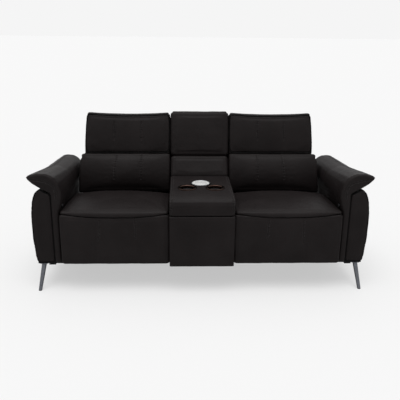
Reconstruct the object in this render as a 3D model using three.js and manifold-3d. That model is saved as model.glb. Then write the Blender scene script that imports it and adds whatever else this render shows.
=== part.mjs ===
// A two-seat power recliner sofa with a drop down console between the seats.
// Millimetres. X runs across the sofa, Y from front to back, Z up. The origin is on the floor, under the
// middle of the sofa's bounding box. Pieces named left lie at -X, which is the left side seen from the front.

import * as THREE from 'three';
import { mergeVertices } from 'three/addons/utils/BufferGeometryUtils.js';
import Module from 'manifold-3d';

const wasm = await Module();
wasm.setup();

// Driving dimensions
const WIDTH = 2056; // wing tip to wing tip
const DEPTH = 910;
const CONSOLE_WIDTH = 390;
const ARM_REACH = 177; // seat side to wing tip
const BACK_DEPTH = 345; // rear of the seats to the rear of the sofa
const SEAT_HEIGHT = 522; // top of the nose
const ARM_HEIGHT = 740; // crest of the wing
const TABLE_HEIGHT = 605;
const LEAF_THICKNESS = 110;
const CONSOLE_PROUD = 20; // how far the console stands in front of the seats
const BACK_LEAN = THREE.MathUtils.degToRad(12);
const FLOOR_TO_BOARD = 158; // top of the legs

// Clearances
const TOUCH = 0.3; // between pieces that rest on each other
const SIDE_GAP = 4; // between pieces that slide past each other
const PIN_GAP = 0.35; // round a pin in its hole
const OVERRUN = 2; // how far a cutting shape runs past what it cuts

// Smoothness
const ROUND_STEPS = 3; // pieces in a rounded corner
const END_STEPS = 2; // rings in a rounded cushion end
const PIN_SIDES = 12;

// Places that follow from the driving dimensions
const FRONT_Y = -DEPTH / 2;
const REAR_Y = DEPTH / 2;
const SEAT_FRONT_Y = FRONT_Y + CONSOLE_PROUD;
const SEAT_REAR_Y = REAR_Y - BACK_DEPTH;
const SEAT_INNER_X = CONSOLE_WIDTH / 2 + SIDE_GAP;
const SEAT_OUTER_X = WIDTH / 2 - ARM_REACH - SIDE_GAP;
const SEAT_WIDTH = SEAT_OUTER_X - SEAT_INNER_X;
const SEAT_MIDDLE_X = (SEAT_INNER_X + SEAT_OUTER_X) / 2;
const ARM_INNER_X = SEAT_OUTER_X + SIDE_GAP;

// Materials
const leather = new THREE.MeshStandardMaterial({ color: 0x1e1c1d, roughness: 0.5, metalness: 0 });
const linedBoard = new THREE.MeshStandardMaterial({ color: 0x1d1d1e, roughness: 0.9, metalness: 0 });
const blackSteel = new THREE.MeshStandardMaterial({ color: 0x26272a, roughness: 0.5, metalness: 0.4 });
const springSteel = new THREE.MeshStandardMaterial({ color: 0x8b8d90, roughness: 0.35, metalness: 0.9 });
const gunmetal = new THREE.MeshStandardMaterial({ color: 0x5a5c60, roughness: 0.25, metalness: 1 });
const chrome = new THREE.MeshStandardMaterial({ color: 0xd8dadc, roughness: 0.12, metalness: 1 });
const plastic = new THREE.MeshStandardMaterial({ color: 0x141415, roughness: 0.45, metalness: 0 });

// Outlines

function circle(a, b, radius, sides = PIN_SIDES) {
  const points = [];
  for (let i = 0; i < sides; i += 1) {
    const angle = (2 * Math.PI * i) / sides;
    points.push(new THREE.Vector2(a + radius * Math.cos(angle), b + radius * Math.sin(angle)));
  }
  return points;
}

// The arc that rounds one corner, from the side before it to the side after it.
function cornerArc(before, corner, after) {
  const here = new THREE.Vector2(corner.a, corner.b);
  if (!corner.r) return [here];
  const back = new THREE.Vector2(before.a, before.b).sub(here).normalize();
  const ahead = new THREE.Vector2(after.a, after.b).sub(here).normalize();
  const half = Math.acos(THREE.MathUtils.clamp(back.dot(ahead), -1, 1)) / 2;
  const centre = back.clone().add(ahead).normalize().multiplyScalar(corner.r / Math.sin(half)).add(here);
  const start = back.multiplyScalar(corner.r / Math.tan(half)).add(here).sub(centre);
  const end = ahead.multiplyScalar(corner.r / Math.tan(half)).add(here).sub(centre);
  const turn = Math.atan2(start.cross(end), start.dot(end));
  const points = [];
  for (let step = 0; step <= ROUND_STEPS; step += 1) {
    points.push(start.clone().rotateAround(new THREE.Vector2(), (turn * step) / ROUND_STEPS).add(centre));
  }
  return points;
}

// A closed outline, anticlockwise, from corners { a, b, r, bulge, steps }. r rounds a corner. The side that
// leaves it has steps points of its own and swells outward by bulge.
function outline(corners) {
  const count = corners.length;
  const arcs = corners.map((corner, i) =>
    cornerArc(corners[(i + count - 1) % count], corner, corners[(i + 1) % count]));
  const points = [];
  arcs.forEach((arc, i) => {
    points.push(...arc);
    const { bulge = 0, steps = 0 } = corners[i];
    const from = arc[arc.length - 1];
    const along = arcs[(i + 1) % count][0].clone().sub(from);
    const outward = new THREE.Vector2(along.y, -along.x).normalize();
    for (let step = 1; step <= steps; step += 1) {
      const share = step / (steps + 1);
      const swell = bulge * 4 * share * (1 - share);
      points.push(from.clone().addScaledVector(along, share).addScaledVector(outward, swell));
    }
  });
  const before = (i) => points[(i + points.length - 1) % points.length];
  return points.filter((point, i) => point.distanceTo(before(i)) > TOUCH);
}

// The same outline drawn in by a distance on every side.
function shrink(points, distance) {
  if (!distance) return points;
  const count = points.length;
  return points.map((point, i) => {
    const back = point.clone().sub(points[(i + count - 1) % count]).normalize();
    const ahead = points[(i + 1) % count].clone().sub(point).normalize();
    const along = back.add(ahead).normalize();
    return point.clone().addScaledVector(new THREE.Vector2(-along.y, along.x), distance);
  });
}

// A flat bar with round ends about two pin centres.
function capsule(from, to, radius) {
  const direction = Math.atan2(to[1] - from[1], to[0] - from[0]);
  const points = [];
  [[to, direction - Math.PI / 2], [from, direction + Math.PI / 2]].forEach(([centre, first]) => {
    for (let step = 0; step <= PIN_SIDES / 2; step += 1) {
      const angle = first + (Math.PI * step) / (PIN_SIDES / 2);
      const spoke = new THREE.Vector2(radius, 0).rotateAround(new THREE.Vector2(), angle);
      points.push(spoke.add(new THREE.Vector2(...centre)));
    }
  });
  return points;
}

// Solids

function place(axis, at, point) {
  if (axis === 'x') return [at, point.x, point.y];
  if (axis === 'y') return [point.x, at, point.y];
  return [point.x, point.y, at];
}

function geometryFrom(positions, index) {
  const geometry = new THREE.BufferGeometry();
  geometry.setAttribute('position', new THREE.Float32BufferAttribute(positions, 3));
  geometry.setIndex(index);
  return geometry;
}

function volumeOf(geometry) {
  const position = geometry.getAttribute('position');
  const corners = [0, 0, 0].map(() => new THREE.Vector3());
  let volume = 0;
  for (let i = 0; i < geometry.index.count; i += 3) {
    corners.forEach((corner, k) => corner.fromBufferAttribute(position, geometry.index.getX(i + k)));
    volume += corners[0].dot(corners[1].clone().cross(corners[2])) / 6;
  }
  return volume;
}

function turnInsideOut(geometry) {
  const index = Array.from(geometry.index.array);
  for (let i = 0; i < index.length; i += 3) {
    [index[i], index[i + 1]] = [index[i + 1], index[i]];
  }
  geometry.setIndex(index);
  return geometry;
}

// One closed skin through outlines with the same number of points, each at its place along an axis.
function loft(axis, stations) {
  const rings = stations.map(({ outline: ring }) =>
    (THREE.ShapeUtils.isClockWise(ring) ? [...ring].reverse() : ring));
  const count = rings[0].length;
  const positions = rings.flatMap((ring, i) => ring.flatMap((point) => place(axis, stations[i].at, point)));
  const index = [];
  for (let station = 0; station + 1 < stations.length; station += 1) {
    for (let i = 0; i < count; i += 1) {
      const a = station * count + i;
      const b = station * count + ((i + 1) % count);
      index.push(a, b, b + count, a, b + count, a + count);
    }
  }
  const last = (rings.length - 1) * count;
  THREE.ShapeUtils.triangulateShape(rings[0], []).forEach(([a, b, c]) => index.push(c, b, a));
  THREE.ShapeUtils.triangulateShape(rings[rings.length - 1], [])
    .forEach(([a, b, c]) => index.push(last + a, last + b, last + c));
  const geometry = geometryFrom(positions, index);
  return volumeOf(geometry) < 0 ? turnInsideOut(geometry) : geometry;
}

function prism(axis, from, to, points) {
  return loft(axis, [{ at: from, outline: points }, { at: to, outline: points }]);
}

function block(low, high) {
  const corners = [
    new THREE.Vector2(low[0], low[1]), new THREE.Vector2(high[0], low[1]),
    new THREE.Vector2(high[0], high[1]), new THREE.Vector2(low[0], high[1]),
  ];
  return prism('z', low[2], high[2], corners);
}

function toSolid(geometry) {
  const plain = geometry.clone();
  Object.keys(plain.attributes)
    .filter((name) => name !== 'position')
    .forEach((name) => plain.deleteAttribute(name));
  const merged = mergeVertices(plain);
  return new wasm.Manifold(new wasm.Mesh({
    numProp: 3,
    vertProperties: Float32Array.from(merged.getAttribute('position').array),
    triVerts: Uint32Array.from(merged.index.array),
  }));
}

function fromSolid(solid) {
  const mesh = solid.getMesh();
  return geometryFrom(Array.from(mesh.vertProperties), Array.from(mesh.triVerts));
}

function join(...geometries) {
  return fromSolid(geometries.map(toSolid).reduce((whole, piece) => whole.add(piece)));
}

function cut(geometry, ...tools) {
  return fromSolid(tools.map(toSolid).reduce((whole, tool) => whole.subtract(tool), toSolid(geometry)));
}

function mirrored(geometry) {
  return turnInsideOut(geometry.clone().applyMatrix4(new THREE.Matrix4().makeScale(-1, 1, 1)));
}

// A bar with a rectangular hollow, open at both ends.
function boxTube(axis, from, to, low, high, wall) {
  const rectangle = (inset) => outline([
    { a: low[0] + inset, b: low[1] + inset }, { a: high[0] - inset, b: low[1] + inset },
    { a: high[0] - inset, b: high[1] - inset }, { a: low[0] + inset, b: high[1] - inset },
  ]);
  return cut(prism(axis, from, to, rectangle(0)), prism(axis, from - OVERRUN, to + OVERRUN, rectangle(wall)));
}

// Cushions

// Where a cushion's section is drawn: rings round its ends, even steps between, and for each sewn channel
// its two shoulders and its valley.
function cushionStations(from, to, round, steps, seams, seamHalf) {
  const stations = [];
  for (let step = 0; step <= END_STEPS; step += 1) {
    const angle = (Math.PI / 2) * (step / END_STEPS);
    const reach = round * (1 - Math.cos(angle));
    const inset = round * (1 - Math.sin(angle));
    stations.push({ at: from + reach, inset, seam: 0 });
    stations.push({ at: to - reach, inset, seam: 0 });
  }
  const centres = seams.map((share) => from + share * (to - from));
  centres.forEach((at) => {
    stations.push({ at: at - seamHalf, inset: 0, seam: 0 });
    stations.push({ at, inset: 0, seam: 1 });
    stations.push({ at: at + seamHalf, inset: 0, seam: 0 });
  });
  for (let step = 1; step < steps; step += 1) {
    const at = from + (step / steps) * (to - from);
    const free = centres.every((centre) => Math.abs(centre - at) > 2 * seamHalf);
    if (free && at > from + 2 * round && at < to - 2 * round) stations.push({ at, inset: 0, seam: 0 });
  }
  return stations.sort((one, other) => one.at - other.at);
}

// A cushion along X. section(across, seam, inset) gives the corners of its outline, where across runs from -1
// to 1 and seam is 1 in a channel's valley. Its ends are drawn in all round, or by the section itself.
function cushion({ from, to, round, steps, seams = [], seamHalf = 0, drawnIn = true, section }) {
  const middle = (from + to) / 2;
  const half = (to - from) / 2;
  return loft('x', cushionStations(from, to, round, steps, seams, seamHalf).map(({ at, inset, seam }) => ({
    at,
    outline: shrink(outline(section((at - middle) / half, seam, inset)), drawnIn ? inset : 0),
  })));
}

// The leaning plane that each back is built on: a runs across a back's thickness and b up along it.
const BACK_FOOT_SETBACK = 95; // rear of the seat to the foot of the back's frame
const BACK_FOOT_Y = SEAT_REAR_Y + BACK_FOOT_SETBACK;
const BACK_FOOT_DROP = 122; // top of the nose to the back's pivots
const BACK_FOOT_Z = SEAT_HEIGHT - BACK_FOOT_DROP;

function backPlaneY(z) {
  return BACK_FOOT_Y + (z - BACK_FOOT_Z) * Math.tan(BACK_LEAN);
}

// Base: two cross rails under the arms' base boards carry the console and the seats' tracks.

const RAIL_SIZE = 40;
const RAIL_WALL = 3;
const RAIL_UNDER_ARM = 105; // how far a rail reaches in under the arm
const FRONT_RAIL_SETBACK = 230; // front of the seat to the rail's middle
const REAR_RAIL_SETBACK = 140; // rear of the seat to the rail's middle
const FRONT_RAIL_Y = SEAT_FRONT_Y + FRONT_RAIL_SETBACK;
const REAR_RAIL_Y = SEAT_REAR_Y + REAR_RAIL_SETBACK;
const ON_RAIL_Z = FLOOR_TO_BOARD + TOUCH;

function crossRail(middleY) {
  const half = ARM_INNER_X + RAIL_UNDER_ARM;
  const low = [middleY - RAIL_SIZE / 2, FLOOR_TO_BOARD - RAIL_SIZE];
  return boxTube('x', -half, half, low, [low[0] + RAIL_SIZE, FLOOR_TO_BOARD], RAIL_WALL);
}

const TRACK_WIDTH = 30;
const TRACK_HEIGHT = 40;
const GROOVE_WIDTH = 14;
const GROOVE_DEPTH = 20;
const TRACK_INSET = 36; // track middle to the seat's side
const TRACK_PAST_FRONT_RAIL = 105;
const TRACK_PAST_REAR_RAIL = 50;

function track(middleX) {
  const side = TRACK_WIDTH / 2;
  const groove = GROOVE_WIDTH / 2;
  const top = ON_RAIL_Z + TRACK_HEIGHT;
  const section = outline([
    { a: middleX - side, b: ON_RAIL_Z }, { a: middleX + side, b: ON_RAIL_Z },
    { a: middleX + side, b: top }, { a: middleX + groove, b: top },
    { a: middleX + groove, b: top - GROOVE_DEPTH }, { a: middleX - groove, b: top - GROOVE_DEPTH },
    { a: middleX - groove, b: top }, { a: middleX - side, b: top },
  ]);
  return prism('y', FRONT_RAIL_Y - TRACK_PAST_FRONT_RAIL, REAR_RAIL_Y + TRACK_PAST_REAR_RAIL, section);
}

// Drive: a motor with a gear housing pushes a rod that runs in a tube and ends in the seat frame's bracket.

const ROD_RADIUS = 11;
const ROD_TO_MOTOR = 113;
const ROD_PAST_BRACKET = 2;
const TUBE_RADIUS = 16;
const TUBE_TO_BRACKET = 150; // drive tube's mouth to the seat frame's bracket
const MOTOR_RADIUS = 25;
const MOTOR_ABOVE_RAIL = 2.7;
const DRIVE_Z = ON_RAIL_Z + MOTOR_ABOVE_RAIL + MOTOR_RADIUS;
const MOTOR_LENGTH = 85;
const MOTOR_FRONT_Y = REAR_RAIL_Y - MOTOR_LENGTH;
const GEARBOX_HALF_WIDTH = 34;
const GEARBOX_HALF_HEIGHT = 23;
const GEARBOX_LENGTH = 36;
const MOTOR_FOOT_HALF_WIDTH = 20;
const MOTOR_FOOT_DEPTH = 16;
const ROD_END_CLEARANCE = 12;

// The ring of the seat frame, whose front bar carries the bracket.
const RING_SETBACK = 125; // front of the seat to the front bar
const RING_FRONT_Y = SEAT_FRONT_Y + RING_SETBACK;
const ROD_FRONT_Y = RING_FRONT_Y - ROD_PAST_BRACKET;
const ROD_LENGTH = MOTOR_FRONT_Y - RING_FRONT_Y - ROD_TO_MOTOR;

function driveRound(from, to, radius) {
  return prism('y', from, to, circle(SEAT_MIDDLE_X, DRIVE_Z, radius));
}

function driveUnit() {
  const tubeFrontY = RING_FRONT_Y + TUBE_TO_BRACKET;
  const tube = driveRound(tubeFrontY, MOTOR_FRONT_Y + OVERRUN, TUBE_RADIUS);
  const motor = driveRound(MOTOR_FRONT_Y, REAR_RAIL_Y, MOTOR_RADIUS);
  const gearbox = block(
    [SEAT_MIDDLE_X - GEARBOX_HALF_WIDTH, MOTOR_FRONT_Y, DRIVE_Z - GEARBOX_HALF_HEIGHT],
    [SEAT_MIDDLE_X + GEARBOX_HALF_WIDTH, MOTOR_FRONT_Y + GEARBOX_LENGTH, DRIVE_Z + GEARBOX_HALF_HEIGHT],
  );
  const foot = block(
    [SEAT_MIDDLE_X - MOTOR_FOOT_HALF_WIDTH, REAR_RAIL_Y - MOTOR_FOOT_DEPTH, ON_RAIL_Z],
    [SEAT_MIDDLE_X + MOTOR_FOOT_HALF_WIDTH, REAR_RAIL_Y, DRIVE_Z],
  );
  const boreEndY = ROD_FRONT_Y + ROD_LENGTH + ROD_END_CLEARANCE;
  const bore = driveRound(tubeFrontY - OVERRUN, boreEndY, ROD_RADIUS + PIN_GAP);
  return cut(join(tube, motor, gearbox, foot), bore);
}

function driveRod() {
  return driveRound(ROD_FRONT_Y, ROD_FRONT_Y + ROD_LENGTH, ROD_RADIUS);
}

// Seat frame: a ring on posts whose runners slide in the tracks. It carries the footrest's torque tube in
// front, the back's pivots behind and the end of the drive rod.

const RING_HEIGHT = 50;
const RING_DROP = 142; // top of the nose to the ring's top
const RING_TOP_Z = SEAT_HEIGHT - RING_DROP;
const RING_INSET = 20; // ring to the seat's side
const RING_BAR = 38;
const POST_HALF_WIDTH = GROOVE_WIDTH / 2 - TOUCH;
const POST_LENGTH = 115;
const RUNNER_HEIGHT = 18;
const RUNNER_FRONT_INSET = 50; // ring to runner
const RUNNER_REAR_INSET = 30;
const RUNNER_FRONT_Y = RING_FRONT_Y + RUNNER_FRONT_INSET;
const RUNNER_REAR_Y = SEAT_REAR_Y - RUNNER_REAR_INSET;
const PLATE = 6; // thickness of every steel link and hanger
const HANGER_RADIUS = 17;
const TORQUE_TUBE_RADIUS = 10;
const BACK_PIN_RADIUS = 10;
const BACK_FRAME_DEPTH = 60;
const BACK_PIVOT_Y = BACK_FOOT_Y + (BACK_FRAME_DEPTH / 2) * Math.cos(BACK_LEAN);
const BACK_PIVOT_Z = BACK_FOOT_Z - (BACK_FRAME_DEPTH / 2) * Math.sin(BACK_LEAN);
const BACK_FRAME_INSET = 73; // back frame to the seat's side
const BACK_HANGER_GAP = 4; // back frame to the seat frame's plate
const BRACKET_HALF_WIDTH = 30;
const BRACKET_THICKNESS = 10;
const BRACKET_DEPTH_BELOW_ROD = 20;

// Footrest linkage. Seen from the side, the rear link hangs from the torque tube, and the front link stands
// on the rear link's lower end and holds the footrest board near its top.
const TORQUE_TUBE_SETBACK = 122;
const TORQUE_TUBE_DROP = 68; // under the ring's top
const TORQUE_TUBE_Z = RING_TOP_Z - TORQUE_TUBE_DROP;
const KNEE_SETBACK = 100;
const KNEE_ABOVE_BOARD = 32;
const KNEE_Z = FLOOR_TO_BOARD + KNEE_ABOVE_BOARD;
const BOARD_PIVOT_SETBACK = 68;
const BOARD_PIVOT_DROP = 104; // under the top of the nose
const BOARD_PIVOT_Z = SEAT_HEIGHT - BOARD_PIVOT_DROP;
const TORQUE_TUBE = [SEAT_FRONT_Y + TORQUE_TUBE_SETBACK, TORQUE_TUBE_Z];
const KNEE = [SEAT_FRONT_Y + KNEE_SETBACK, KNEE_Z];
const BOARD_PIVOT = [SEAT_FRONT_Y + BOARD_PIVOT_SETBACK, BOARD_PIVOT_Z];
const LINK_RADIUS = 12;
const KNEE_PIN_RADIUS = 8;
const LINK_GAP = 1.5; // between plates that turn side by side
const REAR_LINK_INSET = 101; // rear link to the seat's side
const HANGER_INSET = 71;

// Both places, in from the seat's two sides, where a plate stands.
function platePairs(inset, thickness = PLATE) {
  return [
    [SEAT_INNER_X + inset, SEAT_INNER_X + inset + thickness],
    [SEAT_OUTER_X - inset - thickness, SEAT_OUTER_X - inset],
  ];
}

// Room for a pin, right across the seat.
function pinHole(middle, radius) {
  return prism('x', SEAT_INNER_X, SEAT_OUTER_X, circle(...middle, radius + PIN_GAP));
}

function seatFrame() {
  const left = SEAT_INNER_X + RING_INSET;
  const right = SEAT_OUTER_X - RING_INSET;
  const bottom = RING_TOP_Z - RING_HEIGHT;
  const ring = cut(
    block([left, RING_FRONT_Y, bottom], [right, SEAT_REAR_Y, RING_TOP_Z]),
    block(
      [left + RING_BAR, RING_FRONT_Y + RING_BAR, bottom - OVERRUN],
      [right - RING_BAR, SEAT_REAR_Y - RING_BAR, RING_TOP_Z + OVERRUN],
    ),
  );
  const runnerZ = ON_RAIL_Z + TRACK_HEIGHT - GROOVE_DEPTH + TOUCH;
  const legs = [SEAT_INNER_X + TRACK_INSET, SEAT_OUTER_X - TRACK_INSET].flatMap((middle) => {
    const low = middle - POST_HALF_WIDTH;
    const high = middle + POST_HALF_WIDTH;
    return [
      block([low, RUNNER_FRONT_Y, runnerZ], [high, RUNNER_REAR_Y, runnerZ + RUNNER_HEIGHT]),
      block([low, RUNNER_FRONT_Y, runnerZ], [high, RUNNER_FRONT_Y + POST_LENGTH, bottom + OVERRUN]),
      block([low, RUNNER_REAR_Y - POST_LENGTH, runnerZ], [high, RUNNER_REAR_Y, bottom + OVERRUN]),
    ];
  });
  const ringMiddleZ = RING_TOP_Z - RING_HEIGHT / 2;
  const frontHangers = platePairs(HANGER_INSET).map(([low, high]) =>
    prism('x', low, high, capsule([RING_FRONT_Y + RING_BAR / 2, ringMiddleZ], TORQUE_TUBE, HANGER_RADIUS)));
  const plateInset = BACK_FRAME_INSET - BACK_HANGER_GAP - PLATE;
  const rearHangers = platePairs(plateInset).map(([low, high]) =>
    prism('x', low, high, capsule(
      [SEAT_REAR_Y - RING_BAR / 2, ringMiddleZ], [BACK_PIVOT_Y, BACK_PIVOT_Z], HANGER_RADIUS,
    )));
  const bracket = block(
    [SEAT_MIDDLE_X - BRACKET_HALF_WIDTH, RING_FRONT_Y, DRIVE_Z - BRACKET_DEPTH_BELOW_ROD],
    [SEAT_MIDDLE_X + BRACKET_HALF_WIDTH, RING_FRONT_Y + BRACKET_THICKNESS, bottom + OVERRUN],
  );
  return cut(
    join(ring, ...legs, ...frontHangers, ...rearHangers, bracket),
    pinHole(TORQUE_TUBE, TORQUE_TUBE_RADIUS),
    pinHole([BACK_PIVOT_Y, BACK_PIVOT_Z], BACK_PIN_RADIUS),
    driveRound(RING_FRONT_Y - OVERRUN, RING_FRONT_Y + BRACKET_THICKNESS + OVERRUN, ROD_RADIUS + PIN_GAP),
  );
}

// Sinuous springs: one wire that zigzags from the front bar to the rear bar and back, five times.
const SPRING_COUNT = 5;
const SPRING_WIRE = 3.7;
const SPRING_AMPLITUDE = 24;
const SPRING_BENDS = 10;
const SPRING_INSET = 120; // outermost spring's middle to the seat's side
const SPRING_END_INSET = 12; // spring's end to the ring's outer edge

// The closed outline of a band of even width along a path of points.
function band(path, width) {
  const normals = path.slice(1).map((point, i) =>
    new THREE.Vector2(path[i].y - point.y, point.x - path[i].x).normalize());
  const edge = (side) => path.map((point, i) => {
    const before = normals[Math.max(i - 1, 0)];
    const after = normals[Math.min(i, normals.length - 1)];
    const mitre = before.clone().add(after).divideScalar(1 + before.dot(after));
    return point.clone().addScaledVector(mitre, (side * width) / 2);
  });
  return [...edge(-1), ...edge(1).reverse()];
}

function seatSprings() {
  const bottom = RING_TOP_Z + TOUCH;
  const frontY = RING_FRONT_Y + SPRING_END_INSET;
  const rearY = SEAT_REAR_Y - SPRING_END_INSET;
  const spacing = (SEAT_WIDTH - 2 * SPRING_INSET) / (SPRING_COUNT - 1);
  const path = [];
  for (let spring = 0; spring < SPRING_COUNT; spring += 1) {
    const middle = SEAT_INNER_X + SPRING_INSET + spring * spacing;
    for (let bend = 0; bend <= SPRING_BENDS; bend += 1) {
      const x = middle + (bend % 2 ? SPRING_AMPLITUDE : -SPRING_AMPLITUDE);
      const share = spring % 2 ? 1 - bend / SPRING_BENDS : bend / SPRING_BENDS;
      path.push(new THREE.Vector2(x, frontY + share * (rearY - frontY)));
    }
  }
  return prism('z', bottom, bottom + SPRING_WIRE, band(path, SPRING_WIRE));
}

// Footrest

function rearLinks() {
  const tube = prism('x', SEAT_INNER_X + HANGER_INSET - PLATE, SEAT_OUTER_X - HANGER_INSET + PLATE,
    circle(...TORQUE_TUBE, TORQUE_TUBE_RADIUS));
  const arms = platePairs(REAR_LINK_INSET).map(([low, high]) =>
    prism('x', low, high, capsule(TORQUE_TUBE, KNEE, LINK_RADIUS)));
  return cut(join(tube, ...arms), pinHole(KNEE, KNEE_PIN_RADIUS));
}

function frontLinks() {
  const pastRearLink = REAR_LINK_INSET - LINK_GAP;
  const shaft = prism('x', SEAT_INNER_X + pastRearLink, SEAT_OUTER_X - pastRearLink,
    circle(...KNEE, KNEE_PIN_RADIUS));
  const bars = platePairs(REAR_LINK_INSET + PLATE + LINK_GAP).map(([low, high]) =>
    prism('x', low, high, capsule(KNEE, BOARD_PIVOT, LINK_RADIUS)));
  return cut(join(shaft, ...bars), pinHole(BOARD_PIVOT, KNEE_PIN_RADIUS));
}

const FOOTREST_ABOVE_BOARD = 22;
const FOOTREST_BOTTOM_Z = FLOOR_TO_BOARD + FOOTREST_ABOVE_BOARD;
const FOOTREST_DROP = 48; // top of the nose to the footrest's top, in the middle of the seat
const FOOTREST_TOP_Z = SEAT_HEIGHT - FOOTREST_DROP;
const FOOTREST_THICKNESS = 36;
const FOOTREST_SWELL = 5;
const FOOTREST_FRONT_EDGE = 8; // edge radii
const FOOTREST_REAR_EDGE = 5;
const FOOTREST_REAR_Y = SEAT_FRONT_Y + FOOTREST_SWELL + FOOTREST_THICKNESS;
const BOARD_THICKNESS = 12;
const BOARD_INSET = 14;
const BOARD_FRONT_Y = FOOTREST_REAR_Y + TOUCH;

function footrestBoard() {
  const rear = BOARD_FRONT_Y + BOARD_THICKNESS;
  const board = block(
    [SEAT_INNER_X + BOARD_INSET, BOARD_FRONT_Y, FOOTREST_BOTTOM_Z + BOARD_INSET],
    [SEAT_OUTER_X - BOARD_INSET, rear, FOOTREST_TOP_Z - BOARD_INSET],
  );
  const bracketInset = REAR_LINK_INSET + 2 * (PLATE + LINK_GAP);
  const brackets = platePairs(bracketInset).map(([low, high]) => join(
    prism('x', low, high, circle(...BOARD_PIVOT, LINK_RADIUS)),
    block(
      [low, rear - OVERRUN, BOARD_PIVOT_Z - LINK_RADIUS],
      [high, BOARD_PIVOT[0], BOARD_PIVOT_Z + LINK_RADIUS],
    ),
  ));
  const pins = platePairs(REAR_LINK_INSET + PLATE + LINK_GAP / 2, 2 * PLATE).map(([low, high]) =>
    prism('x', low, high, circle(...BOARD_PIVOT, KNEE_PIN_RADIUS)));
  return join(board, ...brackets, ...pins);
}

// Footrest pads, lumbar cushions and headrests have two sewn channels. All cushions are rounded over at their
// two sides.
const CHANNEL_SHARES = [0.335, 0.665];
const CHANNEL_HALF_WIDTH = 14;
const CHANNEL_DEPTH = 6;
const CUSHION_END = 12; // radius at a cushion's two sides
const CUSHION_STATIONS = 6;
const SWELL_STEPS = 3;

const NOSE_GAP = 5.5; // footrest pad to the nose above it
const NOSE_GAP_RISE = 18; // how much higher that gap runs at the seat's sides

function noseGapRise(across) {
  return NOSE_GAP_RISE * across ** 2;
}

function footrestPad() {
  return cushion({
    from: SEAT_INNER_X,
    to: SEAT_OUTER_X,
    round: CUSHION_END,
    steps: CUSHION_STATIONS,
    seams: CHANNEL_SHARES,
    seamHalf: CHANNEL_HALF_WIDTH,
    drawnIn: false,
    section: (across, seam, inset) => {
      const front = SEAT_FRONT_Y + FOOTREST_SWELL + inset;
      const bottom = FOOTREST_BOTTOM_Z + inset;
      const top = FOOTREST_TOP_Z + noseGapRise(across) - inset;
      const bulge = FOOTREST_SWELL - CHANNEL_DEPTH * seam;
      return [
        { a: front, b: bottom, r: FOOTREST_FRONT_EDGE },
        { a: FOOTREST_REAR_Y, b: bottom, r: FOOTREST_REAR_EDGE },
        { a: FOOTREST_REAR_Y, b: top, r: FOOTREST_REAR_EDGE },
        { a: front, b: top, r: FOOTREST_FRONT_EDGE, bulge, steps: SWELL_STEPS },
      ];
    },
  });
}

// Seat cushion: a crowned block on the springs with a nose that hangs over the footrest.

const NOSE_SETBACK = 2; // behind the swell of the footrest
const NOSE_DRAW = 18; // how far its ends are drawn back
const NOSE_CROWN = 4; // how much higher its middle is than its sides
const NOSE_EDGE = 24;
const NOSE_EDGE_SHARE = 0.6; // of the nose's height, where that is less
const NOSE_LIP_EDGE = 6; // at its lower edge
const NOSE_LIP_SHARE = 0.3; // of the nose's height, where that is less
const NOSE_DEPTH = 61;
const NOSE_HEIGHT = 82;
const NOSE_UNDERSIDE_Z = SEAT_HEIGHT - NOSE_HEIGHT;
const CUSHION_BELOW_NOSE_SETBACK = 100;
const SEAT_FALL = 24; // top of the nose to the cushion's rear
const REAR_CROWN = 26;
const SEAT_REAR_EDGE = 28;
const SEAT_BOTTOM_EDGE = 12;
const SEAT_SWELL = 6;
const SEAT_END = 8; // radius at its two sides, drawn in at the top, the nose and the rear

function seatCushion() {
  const bottom = RING_TOP_Z + 2 * TOUCH + SPRING_WIRE;
  const noseRear = SEAT_FRONT_Y + NOSE_DEPTH;
  const body = SEAT_FRONT_Y + CUSHION_BELOW_NOSE_SETBACK;
  return cushion({
    from: SEAT_INNER_X,
    to: SEAT_OUTER_X,
    round: SEAT_END,
    steps: CUSHION_STATIONS,
    drawnIn: false,
    section: (across, seam, inset) => {
      const rise = 1 - across ** 2;
      const nose = SEAT_FRONT_Y + NOSE_SETBACK + NOSE_DRAW * across ** 4 + inset;
      const lip = FOOTREST_TOP_Z + NOSE_GAP + noseGapRise(across);
      const noseTop = SEAT_HEIGHT - NOSE_CROWN * (1 - rise) - inset;
      const rearTop = SEAT_HEIGHT - SEAT_FALL - REAR_CROWN * (1 - rise) - inset;
      const bulge = SEAT_SWELL * (1 + rise);
      const r = Math.min(NOSE_EDGE, NOSE_EDGE_SHARE * (noseTop - lip));
      const lipEdge = Math.min(NOSE_LIP_EDGE, NOSE_LIP_SHARE * (noseTop - lip));
      return [
        { a: nose, b: lip, r: lipEdge },
        { a: noseRear, b: lip },
        { a: noseRear, b: NOSE_UNDERSIDE_Z },
        { a: body, b: NOSE_UNDERSIDE_Z },
        { a: body, b: bottom },
        { a: SEAT_REAR_Y - inset, b: bottom, r: SEAT_BOTTOM_EDGE },
        { a: SEAT_REAR_Y - inset, b: rearTop, r: SEAT_REAR_EDGE, bulge, steps: 2 * SWELL_STEPS },
        { a: nose, b: noseTop, r },
      ];
    },
  });
}

// Back: a frame on two pivot pins, with a lumbar cushion in front, a padded cover behind and two yokes that
// hold the headrest's tube. Its pieces are drawn upright, as [x, a, b].

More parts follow.
